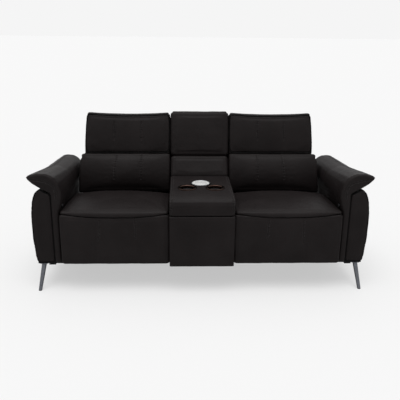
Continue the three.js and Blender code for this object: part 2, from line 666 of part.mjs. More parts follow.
const FOOT_ABOVE_MOTOR = 79; // back frame's foot to the motor
const BACK_FRAME_FOOT = BACK_FOOT_Z - DRIVE_Z - MOTOR_RADIUS - FOOT_ABOVE_MOTOR; // below the pivot
const BACK_FRAME_HEAD = 282; // above the pivot
const BACK_FRAME_BAR = 40;
const YOKE_RADIUS = 14;
const YOKE_INSET = 131; // yoke to the seat's side
const YOKE_FOOT_DROP = 12; // below the head of the frame
const HEADREST_TUBE_RADIUS = 9;
const LUMBAR_DEPTH = 104; // at its edges
const BACK_SIDE_GAP = 32; // the back's outer side to the seat's outer side
const COVER_SIDE_INSET = 4;
const BACK_OUTER_X = SEAT_OUTER_X - BACK_SIDE_GAP;
const HEADREST_PIVOT_A = -44;
const HEADREST_PIVOT_B = 337;
const HEADREST_PIVOT = [HEADREST_PIVOT_A, HEADREST_PIVOT_B];
const BACK_PIVOT = [BACK_FRAME_DEPTH / 2, 0];

function backFrame() {
  const [[left], [, right]] = platePairs(BACK_FRAME_INSET);
  const yokeFoot = [BACK_FRAME_DEPTH / 2, BACK_FRAME_HEAD - YOKE_FOOT_DROP];
  const ring = cut(
    block([left, 0, -BACK_FRAME_FOOT], [right, BACK_FRAME_DEPTH, BACK_FRAME_HEAD]),
    block(
      [left + BACK_FRAME_BAR, -OVERRUN, BACK_FRAME_BAR - BACK_FRAME_FOOT],
      [right - BACK_FRAME_BAR, BACK_FRAME_DEPTH + OVERRUN, BACK_FRAME_HEAD - BACK_FRAME_BAR],
    ),
  );
  const pinReach = BACK_HANGER_GAP + PLATE + BACK_HANGER_GAP;
  const pins = [[left - pinReach, left + OVERRUN], [right - OVERRUN, right + pinReach]].map(([low, high]) =>
    prism('x', low, high, circle(...BACK_PIVOT, BACK_PIN_RADIUS)));
  const yokes = platePairs(YOKE_INSET).map(([low, high]) =>
    prism('x', low, high, capsule(yokeFoot, HEADREST_PIVOT, YOKE_RADIUS)));
  return cut(join(ring, ...pins, ...yokes), pinHole(HEADREST_PIVOT, HEADREST_TUBE_RADIUS));
}

const LUMBAR_BOTTOM = 58;
const LUMBAR_BOTTOM_EDGE = 22;
const LUMBAR_REAR_EDGE = 6;
const LUMBAR_REAR_TOP = 268;
const LUMBAR_FRONT_TOP = 314;
const LUMBAR_TOP_EDGE = 4;
const LUMBAR_END = 8; // radius at its two sides, drawn in at the front alone
const LUMBAR_SWELL = 20;
const LUMBAR_MIDDLE_SWELL = 13; // more of it in the middle
const CRADLE_GAP = 3; // headrest to the hollow that it turns in
const CRADLE_STEPS = 5;
const CRADLE_FRONT_ANGLE = THREE.MathUtils.degToRad(208);
const CRADLE_REAR_ANGLE = THREE.MathUtils.degToRad(270);
const HEADREST_RADIUS = 47; // its rounded lower end

// The hollow in the lumbar cushion's top, round the headrest's pivot.
function cradle() {
  const radius = HEADREST_RADIUS + CRADLE_GAP;
  const corners = [];
  for (let step = 0; step <= CRADLE_STEPS; step += 1) {
    const angle = CRADLE_REAR_ANGLE + (step / CRADLE_STEPS) * (CRADLE_FRONT_ANGLE - CRADLE_REAR_ANGLE);
    corners.push({
      a: HEADREST_PIVOT_A + radius * Math.cos(angle),
      b: HEADREST_PIVOT_B + radius * Math.sin(angle),
    });
  }
  return corners;
}

function lumbarCushion() {
  return cushion({
    from: SEAT_INNER_X,
    to: BACK_OUTER_X,
    round: LUMBAR_END,
    steps: CUSHION_STATIONS,
    seams: CHANNEL_SHARES,
    seamHalf: CHANNEL_HALF_WIDTH,
    drawnIn: false,
    section: (across, seam, inset) => {
      const bulge = LUMBAR_SWELL + LUMBAR_MIDDLE_SWELL * (1 - across ** 2) - CHANNEL_DEPTH * seam;
      return [
        { a: inset - LUMBAR_DEPTH, b: LUMBAR_BOTTOM, r: LUMBAR_BOTTOM_EDGE },
        { a: -TOUCH, b: LUMBAR_BOTTOM, r: LUMBAR_REAR_EDGE },
        { a: -TOUCH, b: LUMBAR_REAR_TOP, r: LUMBAR_REAR_EDGE },
        ...cradle(),
        { a: inset - LUMBAR_DEPTH, b: LUMBAR_FRONT_TOP, r: LUMBAR_TOP_EDGE, bulge, steps: 2 * SWELL_STEPS },
      ];
    },
  });
}

// Headrest: a boxed pad on a board that hangs from a tube, which turns in the back frame's yokes.

const HEADREST_TOP = 597;
const HEADREST_EDGE = 26;
const HEADREST_SWELL = 8;
const HEADREST_TOP_DIP = 8; // how much lower its top is in the middle
const HEADREST_OUTER_GAP = 72; // its outer side to the seat's outer side
const YOKE_SLOT_WIDTH = 20;
const YOKE_SLOT_MARGIN = 4;
const YOKE_SLOT_TOP = 400;
const TUBE_INSET = 31;
const BLADE_THICKNESS = 5;
const BLADE_RADIUS = 10;
const HEADREST_BOARD_THICKNESS = 12;
const HEADREST_BOARD_INSET = 20;
const HEADREST_BOARD_BOTTOM = 365;
const HEADREST_LEFT_X = SEAT_INNER_X + COVER_SIDE_INSET;
const HEADREST_RIGHT_X = SEAT_OUTER_X - HEADREST_OUTER_GAP;
const HEADREST_REAR = HEADREST_PIVOT_A + HEADREST_RADIUS;

function headrestBoard(clearance, rear) {
  const inset = HEADREST_BOARD_INSET - clearance;
  const front = HEADREST_REAR - HEADREST_BOARD_THICKNESS - clearance;
  return block(
    [HEADREST_LEFT_X + inset, front, HEADREST_BOARD_BOTTOM - clearance],
    [HEADREST_RIGHT_X - inset, rear, HEADREST_TOP - HEADREST_TOP_DIP - inset],
  );
}

function headrestCore() {
  const tube = prism('x', HEADREST_LEFT_X + TUBE_INSET, HEADREST_RIGHT_X - TUBE_INSET,
    circle(...HEADREST_PIVOT, HEADREST_TUBE_RADIUS));
  const bladeTop = [HEADREST_REAR - BLADE_RADIUS, YOKE_SLOT_TOP - BLADE_RADIUS - YOKE_SLOT_MARGIN];
  const blades = platePairs(YOKE_INSET + PLATE + LINK_GAP, BLADE_THICKNESS).map(([low, high]) =>
    prism('x', low, high, capsule(HEADREST_PIVOT, bladeTop, BLADE_RADIUS)));
  return join(headrestBoard(0, HEADREST_REAR), tube, ...blades);
}

function headrestPad() {
  const pad = cushion({
    from: HEADREST_LEFT_X,
    to: HEADREST_RIGHT_X,
    round: CUSHION_END,
    steps: CUSHION_STATIONS,
    seams: CHANNEL_SHARES,
    seamHalf: CHANNEL_HALF_WIDTH,
    section: (across, seam) => {
      const front = HEADREST_PIVOT_A - HEADREST_RADIUS;
      const bottom = HEADREST_PIVOT_B - HEADREST_RADIUS;
      const top = HEADREST_TOP - HEADREST_TOP_DIP * (1 - across ** 2);
      const bulge = HEADREST_SWELL - CHANNEL_DEPTH * seam;
      return [
        { a: front, b: bottom, r: HEADREST_RADIUS },
        { a: HEADREST_REAR, b: bottom, r: HEADREST_RADIUS },
        { a: HEADREST_REAR, b: top, r: HEADREST_EDGE },
        { a: front, b: top, r: HEADREST_EDGE, bulge, steps: 2 * SWELL_STEPS },
      ];
    },
  });
  const slots = platePairs(YOKE_INSET - YOKE_SLOT_MARGIN, YOKE_SLOT_WIDTH).map(([low, high]) => block(
    [low, HEADREST_PIVOT_A - YOKE_RADIUS - YOKE_SLOT_MARGIN, HEADREST_PIVOT_B - HEADREST_RADIUS - OVERRUN],
    [high, HEADREST_REAR + OVERRUN, YOKE_SLOT_TOP],
  ));
  const tubeInset = TUBE_INSET - TOUCH;
  const tubeHole = prism('x', HEADREST_LEFT_X + tubeInset, HEADREST_RIGHT_X - tubeInset,
    circle(...HEADREST_PIVOT, HEADREST_TUBE_RADIUS + PIN_GAP));
  return cut(pad, headrestBoard(TOUCH, HEADREST_REAR + OVERRUN), tubeHole, ...slots);
}

const COVER_PAST_FRAME = 10;
const COVER_FOOT = BACK_FRAME_FOOT + COVER_PAST_FRAME;
const COVER_SHOULDER = 290; // where it steps forward over the frame's head
const COVER_NECK = 322;
const COVER_TOP = 556;
const COVER_FRONT = 6; // behind the headrest
const COVER_FOOT_DEPTH = 127;
const COVER_TOP_DEPTH = 117;
const COVER_SWELL = 16;
const COVER_PAST_BACK = 16; // its outer side to the lumbar cushion's
const COVER_EDGE = 28;
const COVER_WAIST = 285; // above this, its outer side runs in behind the headrest
const COVER_WAIST_HEIGHT = 60;
const COVER_HEAD_INSET = 5; // its outer side to the headrest's at the top
const COVER_FRONT_EDGE = 16;

function backCover() {
  const frameRear = BACK_FRAME_DEPTH + TOUCH;
  const outer = BACK_OUTER_X + COVER_PAST_BACK + OVERRUN;
  const besideHeadrest = outline([
    { a: outer, b: COVER_WAIST },
    { a: outer, b: COVER_TOP + OVERRUN },
    { a: HEADREST_RIGHT_X - COVER_HEAD_INSET, b: COVER_TOP + OVERRUN },
    { a: HEADREST_RIGHT_X, b: COVER_WAIST + COVER_WAIST_HEIGHT },
  ]);
  const pad = cushion({
    from: SEAT_INNER_X + COVER_SIDE_INSET,
    to: BACK_OUTER_X + COVER_PAST_BACK,
    round: CUSHION_END,
    steps: CUSHION_STATIONS / 2,
    section: () => [
      { a: frameRear, b: -COVER_FOOT },
      { a: COVER_FOOT_DEPTH, b: -COVER_FOOT, r: COVER_EDGE, bulge: COVER_SWELL, steps: SWELL_STEPS },
      { a: COVER_TOP_DEPTH, b: COVER_TOP, r: COVER_EDGE },
      { a: COVER_FRONT, b: COVER_TOP, r: COVER_FRONT_EDGE },
      { a: COVER_FRONT, b: COVER_NECK },
      { a: frameRear, b: COVER_SHOULDER },
    ],
  });
  return cut(pad, prism('y', -OVERRUN, COVER_FOOT_DEPTH + 2 * COVER_SWELL, besideHeadrest));
}

// Arms: a board core, a padded inner panel that rolls outward into a wing, and a bolster on the outside.

const BASE_BOARD_THICKNESS = 16;
const BASE_BOARD_WIDTH = 152;
const BASE_BOARD_SETBACK = 40; // arm's front to the board's
const ARM_PAD_THICKNESS = 43;
const ARM_CORE_THICKNESS = 40;
const ARM_CORE_HEIGHT = 372;
const ARM_CORE_SETBACK = 20;
const ARM_FRONT_SETBACK = 35; // seat's front to the arm's
const ARM_REAR_SETBACK = 45; // console's rear to the arm's
const ARM_END = 10; // radius at an arm's front and rear
const ARM_STATIONS = 8;
const ARM_FRONT_Y = SEAT_FRONT_Y + ARM_FRONT_SETBACK;
const ARM_REAR_Y = REAR_Y - ARM_REAR_SETBACK;
const ARM_BOTTOM_Z = ON_RAIL_Z + BASE_BOARD_THICKNESS + TOUCH;
const ARM_PAD_OUTER_X = ARM_INNER_X + ARM_PAD_THICKNESS;
const ARM_CORE_OUTER_X = ARM_PAD_OUTER_X + TOUCH + ARM_CORE_THICKNESS;
const BOARD_FRONT_END_Y = ARM_FRONT_Y + BASE_BOARD_SETBACK;
const BOARD_REAR_END_Y = ARM_REAR_Y - BASE_BOARD_SETBACK;

function armCore() {
  return join(
    block(
      [ARM_INNER_X + OVERRUN, BOARD_FRONT_END_Y, ON_RAIL_Z],
      [ARM_INNER_X + OVERRUN + BASE_BOARD_WIDTH, BOARD_REAR_END_Y, ON_RAIL_Z + BASE_BOARD_THICKNESS],
    ),
    block(
      [ARM_PAD_OUTER_X + TOUCH, ARM_FRONT_Y + ARM_CORE_SETBACK, ON_RAIL_Z],
      [ARM_CORE_OUTER_X, ARM_REAR_Y - ARM_CORE_SETBACK, ARM_BOTTOM_Z + ARM_CORE_HEIGHT],
    ),
  );
}

// The value at a share of the way through pairs of [share of the way, value].
function along(pairs, share) {
  const next = pairs.findIndex(([at], i) => i > 0 && share <= at);
  const [fromAt, fromValue] = pairs[next - 1];
  const [toAt, toValue] = pairs[next];
  return fromValue + ((share - fromAt) / (toAt - fromAt)) * (toValue - fromValue);
}

// The wing's section: up the inner face, over the crest and down to the tip, across and up as shares of its
// reach and rise, then back under the tip as shares of the way from the pad to the tip and of the rise.
const WING_TOP_SHARES = [
  [0, 0], [0, 0.57], [-0.08, 0.66], [-0.135, 0.74], [-0.11, 0.81], [-0.03, 0.89], [0.13, 0.96], [0.36, 0.997],
  [0.66, 1], [0.93, 0.975], [1, 0.955],
];
const WING_UNDERSIDE_SHARES = [[0.92, 0.925], [0.76, 0.885], [0.48, 0.84], [0.22, 0.805], [0, 0.775], [0, 0]];

// How the wing changes from front to rear: its reach, the height of its crest and how far its tip lifts.
const WING_REACH_SHARES = [[0, 1], [0.25, 0.925], [0.5, 0.85], [0.77, 0.77], [1, 0.7]];
const WING_RISE_SHARES = [[0, 1], [0.25, 0.942], [0.5, 0.891], [0.77, 0.874], [1, 0.862]];
const WING_LIFT_SHARES = [[0, 0], [0.25, 0.015], [0.5, 0.025], [1, 0.03]];
const WING_LEVEL_SHARE = 0.66; // of the rise: below it the section keeps its heights from front to rear

function wingSection(share) {
  const reach = ARM_REACH * along(WING_REACH_SHARES, share);
  const fullRise = ARM_HEIGHT - ARM_BOTTOM_Z;
  const rise = fullRise * along(WING_RISE_SHARES, share);
  const level = fullRise * WING_LEVEL_SHARE;
  const lift = along(WING_LIFT_SHARES, share);
  const point = (x, up) => {
    const outward = Math.max(x - ARM_INNER_X, 0) / reach;
    const crest = rise * (1 + lift * outward);
    const aboveLevel = Math.max(up - WING_LEVEL_SHARE, 0) / (1 - WING_LEVEL_SHARE);
    const height = fullRise * Math.min(up, WING_LEVEL_SHARE) + aboveLevel * (crest - level);
    return new THREE.Vector2(x, ARM_BOTTOM_Z + height);
  };
  const top = WING_TOP_SHARES.map(([across, up]) => point(ARM_INNER_X + across * reach, up));
  const tipX = ARM_INNER_X + reach;
  const under = WING_UNDERSIDE_SHARES.map(([across, up]) =>
    point(ARM_PAD_OUTER_X + across * (tipX - ARM_PAD_OUTER_X), up));
  return [...top, ...under].reverse();
}

function armLoft(from, to, section) {
  return loft('y', cushionStations(from, to, ARM_END, ARM_STATIONS, [], 0).map(({ at, inset }) => ({
    at,
    outline: shrink(section((at - from) / (to - from)), inset),
  })));
}

// Switch: a round button in a bezel that is let into the wing's inner face.

const SWITCH_SETBACK = 55; // arm's front to the button's middle
const SWITCH_ABOVE_SEAT = 8;
const SWITCH_Z = SEAT_HEIGHT + SWITCH_ABOVE_SEAT;
const SWITCH_PROUD = 14; // how far the bezel stands inward of the arm's foot
const BEZEL_RADIUS = 14;
const BEZEL_LENGTH = 25;
const BUTTON_RADIUS = 10;
const BUTTON_PROUD = 3;
const BUTTON_LENGTH = 11;
const BUTTON_WELL = 13;
const SWITCH_SIDES = 16;
const BEZEL_X = ARM_INNER_X - SWITCH_PROUD;

function switchRound(from, to, radius) {
  return prism('x', from, to, circle(ARM_FRONT_Y + SWITCH_SETBACK, SWITCH_Z, radius, SWITCH_SIDES));
}

function switchBezel() {
  return cut(
    switchRound(BEZEL_X, BEZEL_X + BEZEL_LENGTH, BEZEL_RADIUS),
    switchRound(BEZEL_X - OVERRUN, BEZEL_X + BUTTON_WELL, BUTTON_RADIUS + PIN_GAP),
  );
}

function reclineButton() {
  return switchRound(BEZEL_X - BUTTON_PROUD, BEZEL_X - BUTTON_PROUD + BUTTON_LENGTH, BUTTON_RADIUS);
}

function armWing() {
  const hole = switchRound(BEZEL_X - BEZEL_LENGTH, BEZEL_X + BEZEL_LENGTH + TOUCH, BEZEL_RADIUS + TOUCH);
  return cut(armLoft(ARM_FRONT_Y, ARM_REAR_Y, wingSection), hole);
}

const BOLSTER_HEIGHT = 470;
const BOLSTER_REACH = 88;
const BOLSTER_SETBACK = 5; // behind the wing's front and before its rear
const BOLSTER_END_WALL = 14; // closes the gap in front of the core and behind it
const BOLSTER_SHARES = [
  [0.75, 0], [0.82, 0.03], [0.905, 0.168], [0.98, 0.347], [1, 0.537], [0.947, 0.71], [0.85, 0.84],
  [0.645, 0.944], [0.31, 1],
];
const BOLSTER_INNER_TOP_SHARE = 0.965;
const BOLSTER_END_TOP_SHARE = 0.92;
const BOLSTER_REACH_SHARES = [[0, 1], [0.5, 0.85], [1, 0.6]];
const BOLSTER_HEIGHT_SHARES = [[0, 1], [0.25, 0.93], [0.5, 0.89], [0.77, 0.87], [1, 0.86]];

function bolsterSection(share, atEnd) {
  const reach = BOLSTER_REACH * along(BOLSTER_REACH_SHARES, share);
  const height = BOLSTER_HEIGHT * along(BOLSTER_HEIGHT_SHARES, share);
  const inner = atEnd ? ARM_PAD_OUTER_X + TOUCH : ARM_CORE_OUTER_X + TOUCH;
  const innerTop = atEnd ? BOLSTER_END_TOP_SHARE : BOLSTER_INNER_TOP_SHARE;
  const outer = BOLSTER_SHARES.map(([across, up]) =>
    new THREE.Vector2(ARM_CORE_OUTER_X + TOUCH + across * reach, ARM_BOTTOM_Z + up * height));
  const innerCorners = [0, innerTop].map((up) => new THREE.Vector2(inner, ARM_BOTTOM_Z + up * height));
  return [innerCorners[0], ...outer, innerCorners[1]];
}

function armBolster() {
  const from = ARM_FRONT_Y + BOLSTER_SETBACK;
  const to = ARM_REAR_Y - BOLSTER_SETBACK;
  const walls = [from + BOLSTER_END_WALL, to - BOLSTER_END_WALL];
  const stations = cushionStations(from, to, ARM_END, ARM_STATIONS, [], 0)
    .filter(({ at, inset }) => inset > 0 || (at > walls[0] && at < walls[1]));
  walls.forEach((at, i) => {
    const inward = i ? -TOUCH : TOUCH;
    stations.push({ at, inset: 0, atEnd: true }, { at: at + inward, inset: 0, atEnd: false });
  });
  stations.sort((one, other) => one.at - other.at);
  return loft('y', stations.map(({ at, inset, atEnd = inset > 0 }) => ({
    at,
    outline: shrink(bolsterSection((at - from) / (to - from), atEnd), inset),
  })));
}

// Legs: slim tapered metal, splayed outward, on a plate that is screwed up under the arm's base board.

const LEG_OFFSET = 121; // arm's inner face to the leg's top
const LEG_PLATE = 56;
const LEG_PLATE_THICKNESS = 4;
const LEG_END_MARGIN = 2; // leg's top to the plate's edge
const LEG_TOP_RADIUS = 15;
const LEG_FOOT_RADIUS = 10.5;
const LEG_SPLAY_X = 21;
const LEG_SPLAY_Y = 69;
const LEG_SIDES = 20;

// inward is 1 for the leg at the front and -1 for the one at the rear.
function leg(endY, inward) {
  const x = ARM_INNER_X + LEG_OFFSET;
  const topY = endY + inward * (LEG_TOP_RADIUS + LEG_END_MARGIN);
  const plateY = endY + (inward * LEG_PLATE) / 2;
  const plateZ = FLOOR_TO_BOARD - LEG_PLATE_THICKNESS;
  const shank = loft('z', [
    { at: 0, outline: circle(x + LEG_SPLAY_X, topY - inward * LEG_SPLAY_Y, LEG_FOOT_RADIUS, LEG_SIDES) },
    { at: plateZ + LEG_PLATE_THICKNESS / 2, outline: circle(x, topY, LEG_TOP_RADIUS, LEG_SIDES) },
  ]);
  const plate = block(
    [x - LEG_PLATE / 2, plateY - LEG_PLATE / 2, plateZ],
    [x + LEG_PLATE / 2, plateY + LEG_PLATE / 2, FLOOR_TO_BOARD],
  );
  return join(shank, plate);
}

// Console: a board carcass with a padded cover, the leaf's hinge brackets and the power supply inside.

const CARCASS_INSET = 7; // carcass to the console's side
const CARCASS_WALL = 15;
const COVER_THICKNESS = 38;
const CONSOLE_COVER_INSET = 5;
const CONSOLE_ABOVE_BOARD = 14;
const CONSOLE_BOTTOM_Z = FLOOR_TO_BOARD + CONSOLE_ABOVE_BOARD;
const CONSOLE_EDGE = 5;
const ROLL_BELLY_HEIGHT = 58; // roll's bottom to the belly of it
const ROLL_BELLY_DEPTH = 136;
const ROLL_DROP = 88; // top of the table to the roll's bottom
const ROLL_BOTTOM = TABLE_HEIGHT - ROLL_DROP - BACK_FOOT_Z;
const ROLL_BELLY = ROLL_BOTTOM + ROLL_BELLY_HEIGHT;
const ROLL_FRONT_Y = BACK_FOOT_Y + ROLL_BELLY * Math.sin(BACK_LEAN) - ROLL_BELLY_DEPTH * Math.cos(BACK_LEAN);
const LEAF_TO_ROLL = 2.36;
const LEAF_PIN_Z = TABLE_HEIGHT - LEAF_THICKNESS / 2;
const LEAF_PIN = [ROLL_FRONT_Y - LEAF_TO_ROLL - LEAF_THICKNESS / 2, LEAF_PIN_Z];
const LEAF_PIN_RADIUS = 8;
const HINGE_INSET = 45; // hinge bracket to the console's side
const HINGE_RADIUS = 20;
const COVER_BEHIND_HINGE = 8; // console cover to the hinge brackets
const CONSOLE_HALF = CONSOLE_WIDTH / 2;
const CONSOLE_TOP_Z = TABLE_HEIGHT - LEAF_THICKNESS - TOUCH;
const CARCASS_TOP_Z = CONSOLE_TOP_Z - COVER_THICKNESS - TOUCH;
const SHELL_SETBACK = 55; // rear of the seats to the front of the console's back
const SHELL_FRONT_Y = SEAT_REAR_Y + SHELL_SETBACK;

function mirroredPairs(inset, thickness) {
  const high = CONSOLE_HALF - inset;
  return [[-high, thickness - high], [high - thickness, high]];
}

function consoleCarcass() {
  const half = CONSOLE_HALF - CARCASS_INSET;
  const front = FRONT_Y + COVER_THICKNESS + TOUCH;
  const rear = SHELL_FRONT_Y - TOUCH;
  const box = cut(
    block([-half, front, ON_RAIL_Z], [half, rear, CARCASS_TOP_Z]),
    block(
      [CARCASS_WALL - half, front + CARCASS_WALL, ON_RAIL_Z + CARCASS_WALL],
      [half - CARCASS_WALL, rear + OVERRUN, CARCASS_TOP_Z - CARCASS_WALL],
    ),
  );
  const foot = [LEAF_PIN[0], CARCASS_TOP_Z - CARCASS_WALL + HINGE_RADIUS];
  const brackets = mirroredPairs(HINGE_INSET, PLATE).map(([low, high]) => cut(
    prism('x', low, high, capsule(foot, LEAF_PIN, HINGE_RADIUS)),
    prism('x', low - OVERRUN, high + OVERRUN, circle(...LEAF_PIN, LEAF_PIN_RADIUS + PIN_GAP)),
  ));
  return join(box, ...brackets);
}

function consoleCover() {
  const half = CONSOLE_HALF - CONSOLE_COVER_INSET;
  const panelRear = FRONT_Y + COVER_THICKNESS;
  const top = CONSOLE_TOP_Z;
  const rear = LEAF_PIN[0] - HINGE_RADIUS - COVER_BEHIND_HINGE;
  const section = outline([
    { a: FRONT_Y, b: CONSOLE_BOTTOM_Z, r: CONSOLE_EDGE }, { a: panelRear, b: CONSOLE_BOTTOM_Z },
    { a: panelRear, b: CARCASS_TOP_Z + TOUCH }, { a: rear, b: CARCASS_TOP_Z + TOUCH },
    { a: rear, b: top }, { a: FRONT_Y, b: top, r: CONSOLE_EDGE },
  ]);
  return prism('x', -half, half, section);
}

const SUPPLY_SIZE = [180, 90, 60];
const SUPPLY_Y = -60;

function powerSupply() {
  const floor = ON_RAIL_Z + CARCASS_WALL + TOUCH;
  return block(
    [-SUPPLY_SIZE[0] / 2, SUPPLY_Y - SUPPLY_SIZE[1] / 2, floor],
    [SUPPLY_SIZE[0] / 2, SUPPLY_Y + SUPPLY_SIZE[1] / 2, floor + SUPPLY_SIZE[2]],
  );
}

const SHELL_FOOT_INSET = 155; // sofa's rear to the rear of the shell's foot
const SHELL_HEIGHT = 530; // above the backs' pivots
const SHELL_SHOULDER = 70; // below its top
const SHELL_STEP_DROP = 115; // top of the table to where its front leans back
const SHELL_FOOT_REAR_Y = REAR_Y - SHELL_FOOT_INSET;
const SHELL_TOP_Z = BACK_FOOT_Z + SHELL_HEIGHT;
const SHELL_SHOULDER_Z = SHELL_TOP_Z - SHELL_SHOULDER;
const SHELL_STEP_Z = TABLE_HEIGHT - SHELL_STEP_DROP;
const SHELL_EDGE = 30;

function consoleBackShell() {
  const half = CONSOLE_HALF - CARCASS_INSET;
  return prism('x', -half, half, outline([
    { a: SHELL_FRONT_Y, b: ON_RAIL_Z }, { a: SHELL_FOOT_REAR_Y, b: ON_RAIL_Z },
    { a: REAR_Y, b: SHELL_SHOULDER_Z }, { a: REAR_Y, b: SHELL_TOP_Z, r: SHELL_EDGE },
    { a: backPlaneY(SHELL_TOP_Z), b: SHELL_TOP_Z }, { a: backPlaneY(SHELL_STEP_Z), b: SHELL_STEP_Z },
    { a: SHELL_FRONT_Y, b: SHELL_STEP_Z },
  ]));
}

// Roll behind the leaf and plain headrest above it, both padded, on the console's back. Drawn as [x, a, b].

const ROLL_SIDE_INSET = 1;
const ROLL_BOTTOM_DEPTH = 123;
const ROLL_HEIGHT = 180;
const ROLL_TOP = ROLL_BOTTOM + ROLL_HEIGHT;
const ROLL_TOP_DEPTH = 104;
const ROLL_EDGE = 14;
const ROLL_BELLY_EDGE = 40;
const CENTRE_GAP = 3; // roll to the headrest above it
const CENTRE_ABOVE_HEADRESTS = 8;
const CENTRE_BOTTOM = ROLL_TOP + CENTRE_GAP;
const CENTRE_TOP = HEADREST_TOP + CENTRE_ABOVE_HEADRESTS;
const CENTRE_DEPTH = 108;
const CENTRE_SWELL = 7;
const CENTRE_EDGE = 24;

function consolePad(section) {
  const half = CONSOLE_HALF - ROLL_SIDE_INSET;
  return cushion({ from: -half, to: half, round: CUSHION_END, steps: CUSHION_STATIONS / 2, section });
}

function consoleRoll() {
  return consolePad(() => [
    { a: -ROLL_BOTTOM_DEPTH, b: ROLL_BOTTOM, r: ROLL_EDGE },
    { a: -TOUCH, b: ROLL_BOTTOM },
    { a: -TOUCH, b: ROLL_TOP },
    { a: -ROLL_TOP_DEPTH, b: ROLL_TOP, r: ROLL_EDGE },
    { a: -ROLL_BELLY_DEPTH, b: ROLL_BELLY, r: ROLL_BELLY_EDGE },
  ]);
}

function centreHeadrest() {
  return consolePad((across) => {
    const bulge = CENTRE_SWELL * (2 - across ** 2) / 2;
    return [
      { a: -CENTRE_DEPTH, b: CENTRE_BOTTOM, r: CENTRE_EDGE },
      { a: -TOUCH, b: CENTRE_BOTTOM, r: ROLL_EDGE },
      { a: -TOUCH, b: CENTRE_TOP, r: CENTRE_EDGE },
      { a: -CENTRE_DEPTH, b: CENTRE_TOP, r: CENTRE_EDGE, bulge, steps: SWELL_STEPS },
    ];
  });
}

// Leaf: a padded board that turns on a pin at its rear. Down, it is the table; up, it is the middle back.

const LEAF_BOARD_INSET = 25; // board to the leaf's side
const LEAF_BOARD_DROP = 96; // top of the table to the board's underside
const LEAF_BOARD_Z = TABLE_HEIGHT - LEAF_BOARD_DROP;
const LEAF_BOARD_THICKNESS = 14;
const LEAF_BOARD_FRONT_INSET = 40;
const LEAF_BOARD_TO_PIN = 28;
const LEAF_BLADE_INSET = 60;
const LEAF_BLADE_RADIUS = 10;
const LEAF_FRONT_TOP_EDGE = 45;
const LEAF_FRONT_BOTTOM_EDGE = 5;
const HINGE_SLOT_MARGIN = 1.3;

// Grown on every side by a clearance where it is cut out of the padding.
function leafCore(clearance) {
  const half = CONSOLE_HALF - LEAF_BOARD_INSET + clearance;
  const boardRear = LEAF_PIN[0] - LEAF_BOARD_TO_PIN;
  const board = block(
    [-half, FRONT_Y + LEAF_BOARD_FRONT_INSET - clearance, LEAF_BOARD_Z - clearance],
    [half, boardRear + clearance, LEAF_BOARD_Z + LEAF_BOARD_THICKNESS + clearance],
  );
  const pin = prism('x', -half, half, circle(...LEAF_PIN, LEAF_PIN_RADIUS + clearance));
  const bladeFoot = [boardRear - LEAF_BLADE_RADIUS, LEAF_BOARD_Z + LEAF_BLADE_RADIUS];
  const bladeSide = capsule(bladeFoot, LEAF_PIN, LEAF_BLADE_RADIUS + clearance);
  const blades = mirroredPairs(LEAF_BLADE_INSET, PLATE).map(([low, high]) =>
    prism('x', low - clearance, high + clearance, bladeSide));
  return join(board, pin, ...blades);
}

const CUP_X = 87;
const CUP_TO_PIN = 276; // a cup's middle to the hinge pin
const CUP_Y = LEAF_PIN[0] - CUP_TO_PIN;
const CUP_DEPTH = 76;
const CUP_RADIUS = 47;
const CUP_WALL = 2;
const CUP_RIM_RADIUS = 60;
const CUP_SIDES = 24;
const DISC_TO_PIN = 170; // charging pad's middle to the hinge pin
const DISC_Y = LEAF_PIN[0] - DISC_TO_PIN;
const DISC_RADIUS = 61;
const DISC_THICKNESS = 3;
const DISC_PROUD = 1;
const DISC_BODY_RADIUS = 45;
const DISC_DEPTH = 27;

function upright(x, y, from, to, radius) {
  return prism('z', from, to, circle(x, y, radius, CUP_SIDES));
}

function cupHolder() {
  const top = TABLE_HEIGHT + TOUCH + CUP_WALL;
  const bottom = TABLE_HEIGHT - CUP_DEPTH;
  return cut(
    join(
      upright(CUP_X, CUP_Y, TABLE_HEIGHT + TOUCH, top, CUP_RIM_RADIUS),
      upright(CUP_X, CUP_Y, bottom, top, CUP_RADIUS),
    ),
    upright(CUP_X, CUP_Y, bottom + CUP_WALL, top + OVERRUN, CUP_RADIUS - CUP_WALL),
  );
}

// Grown on every side by a clearance where it is cut out of the padding.
function chargingPad(clearance) {
  const top = TABLE_HEIGHT + DISC_PROUD;
  return join(
    upright(0, DISC_Y, top - DISC_THICKNESS - clearance, top + clearance, DISC_RADIUS + clearance),
    upright(0, DISC_Y, top - DISC_DEPTH - clearance, top - DISC_PROUD, DISC_BODY_RADIUS + clearance),
  );
}

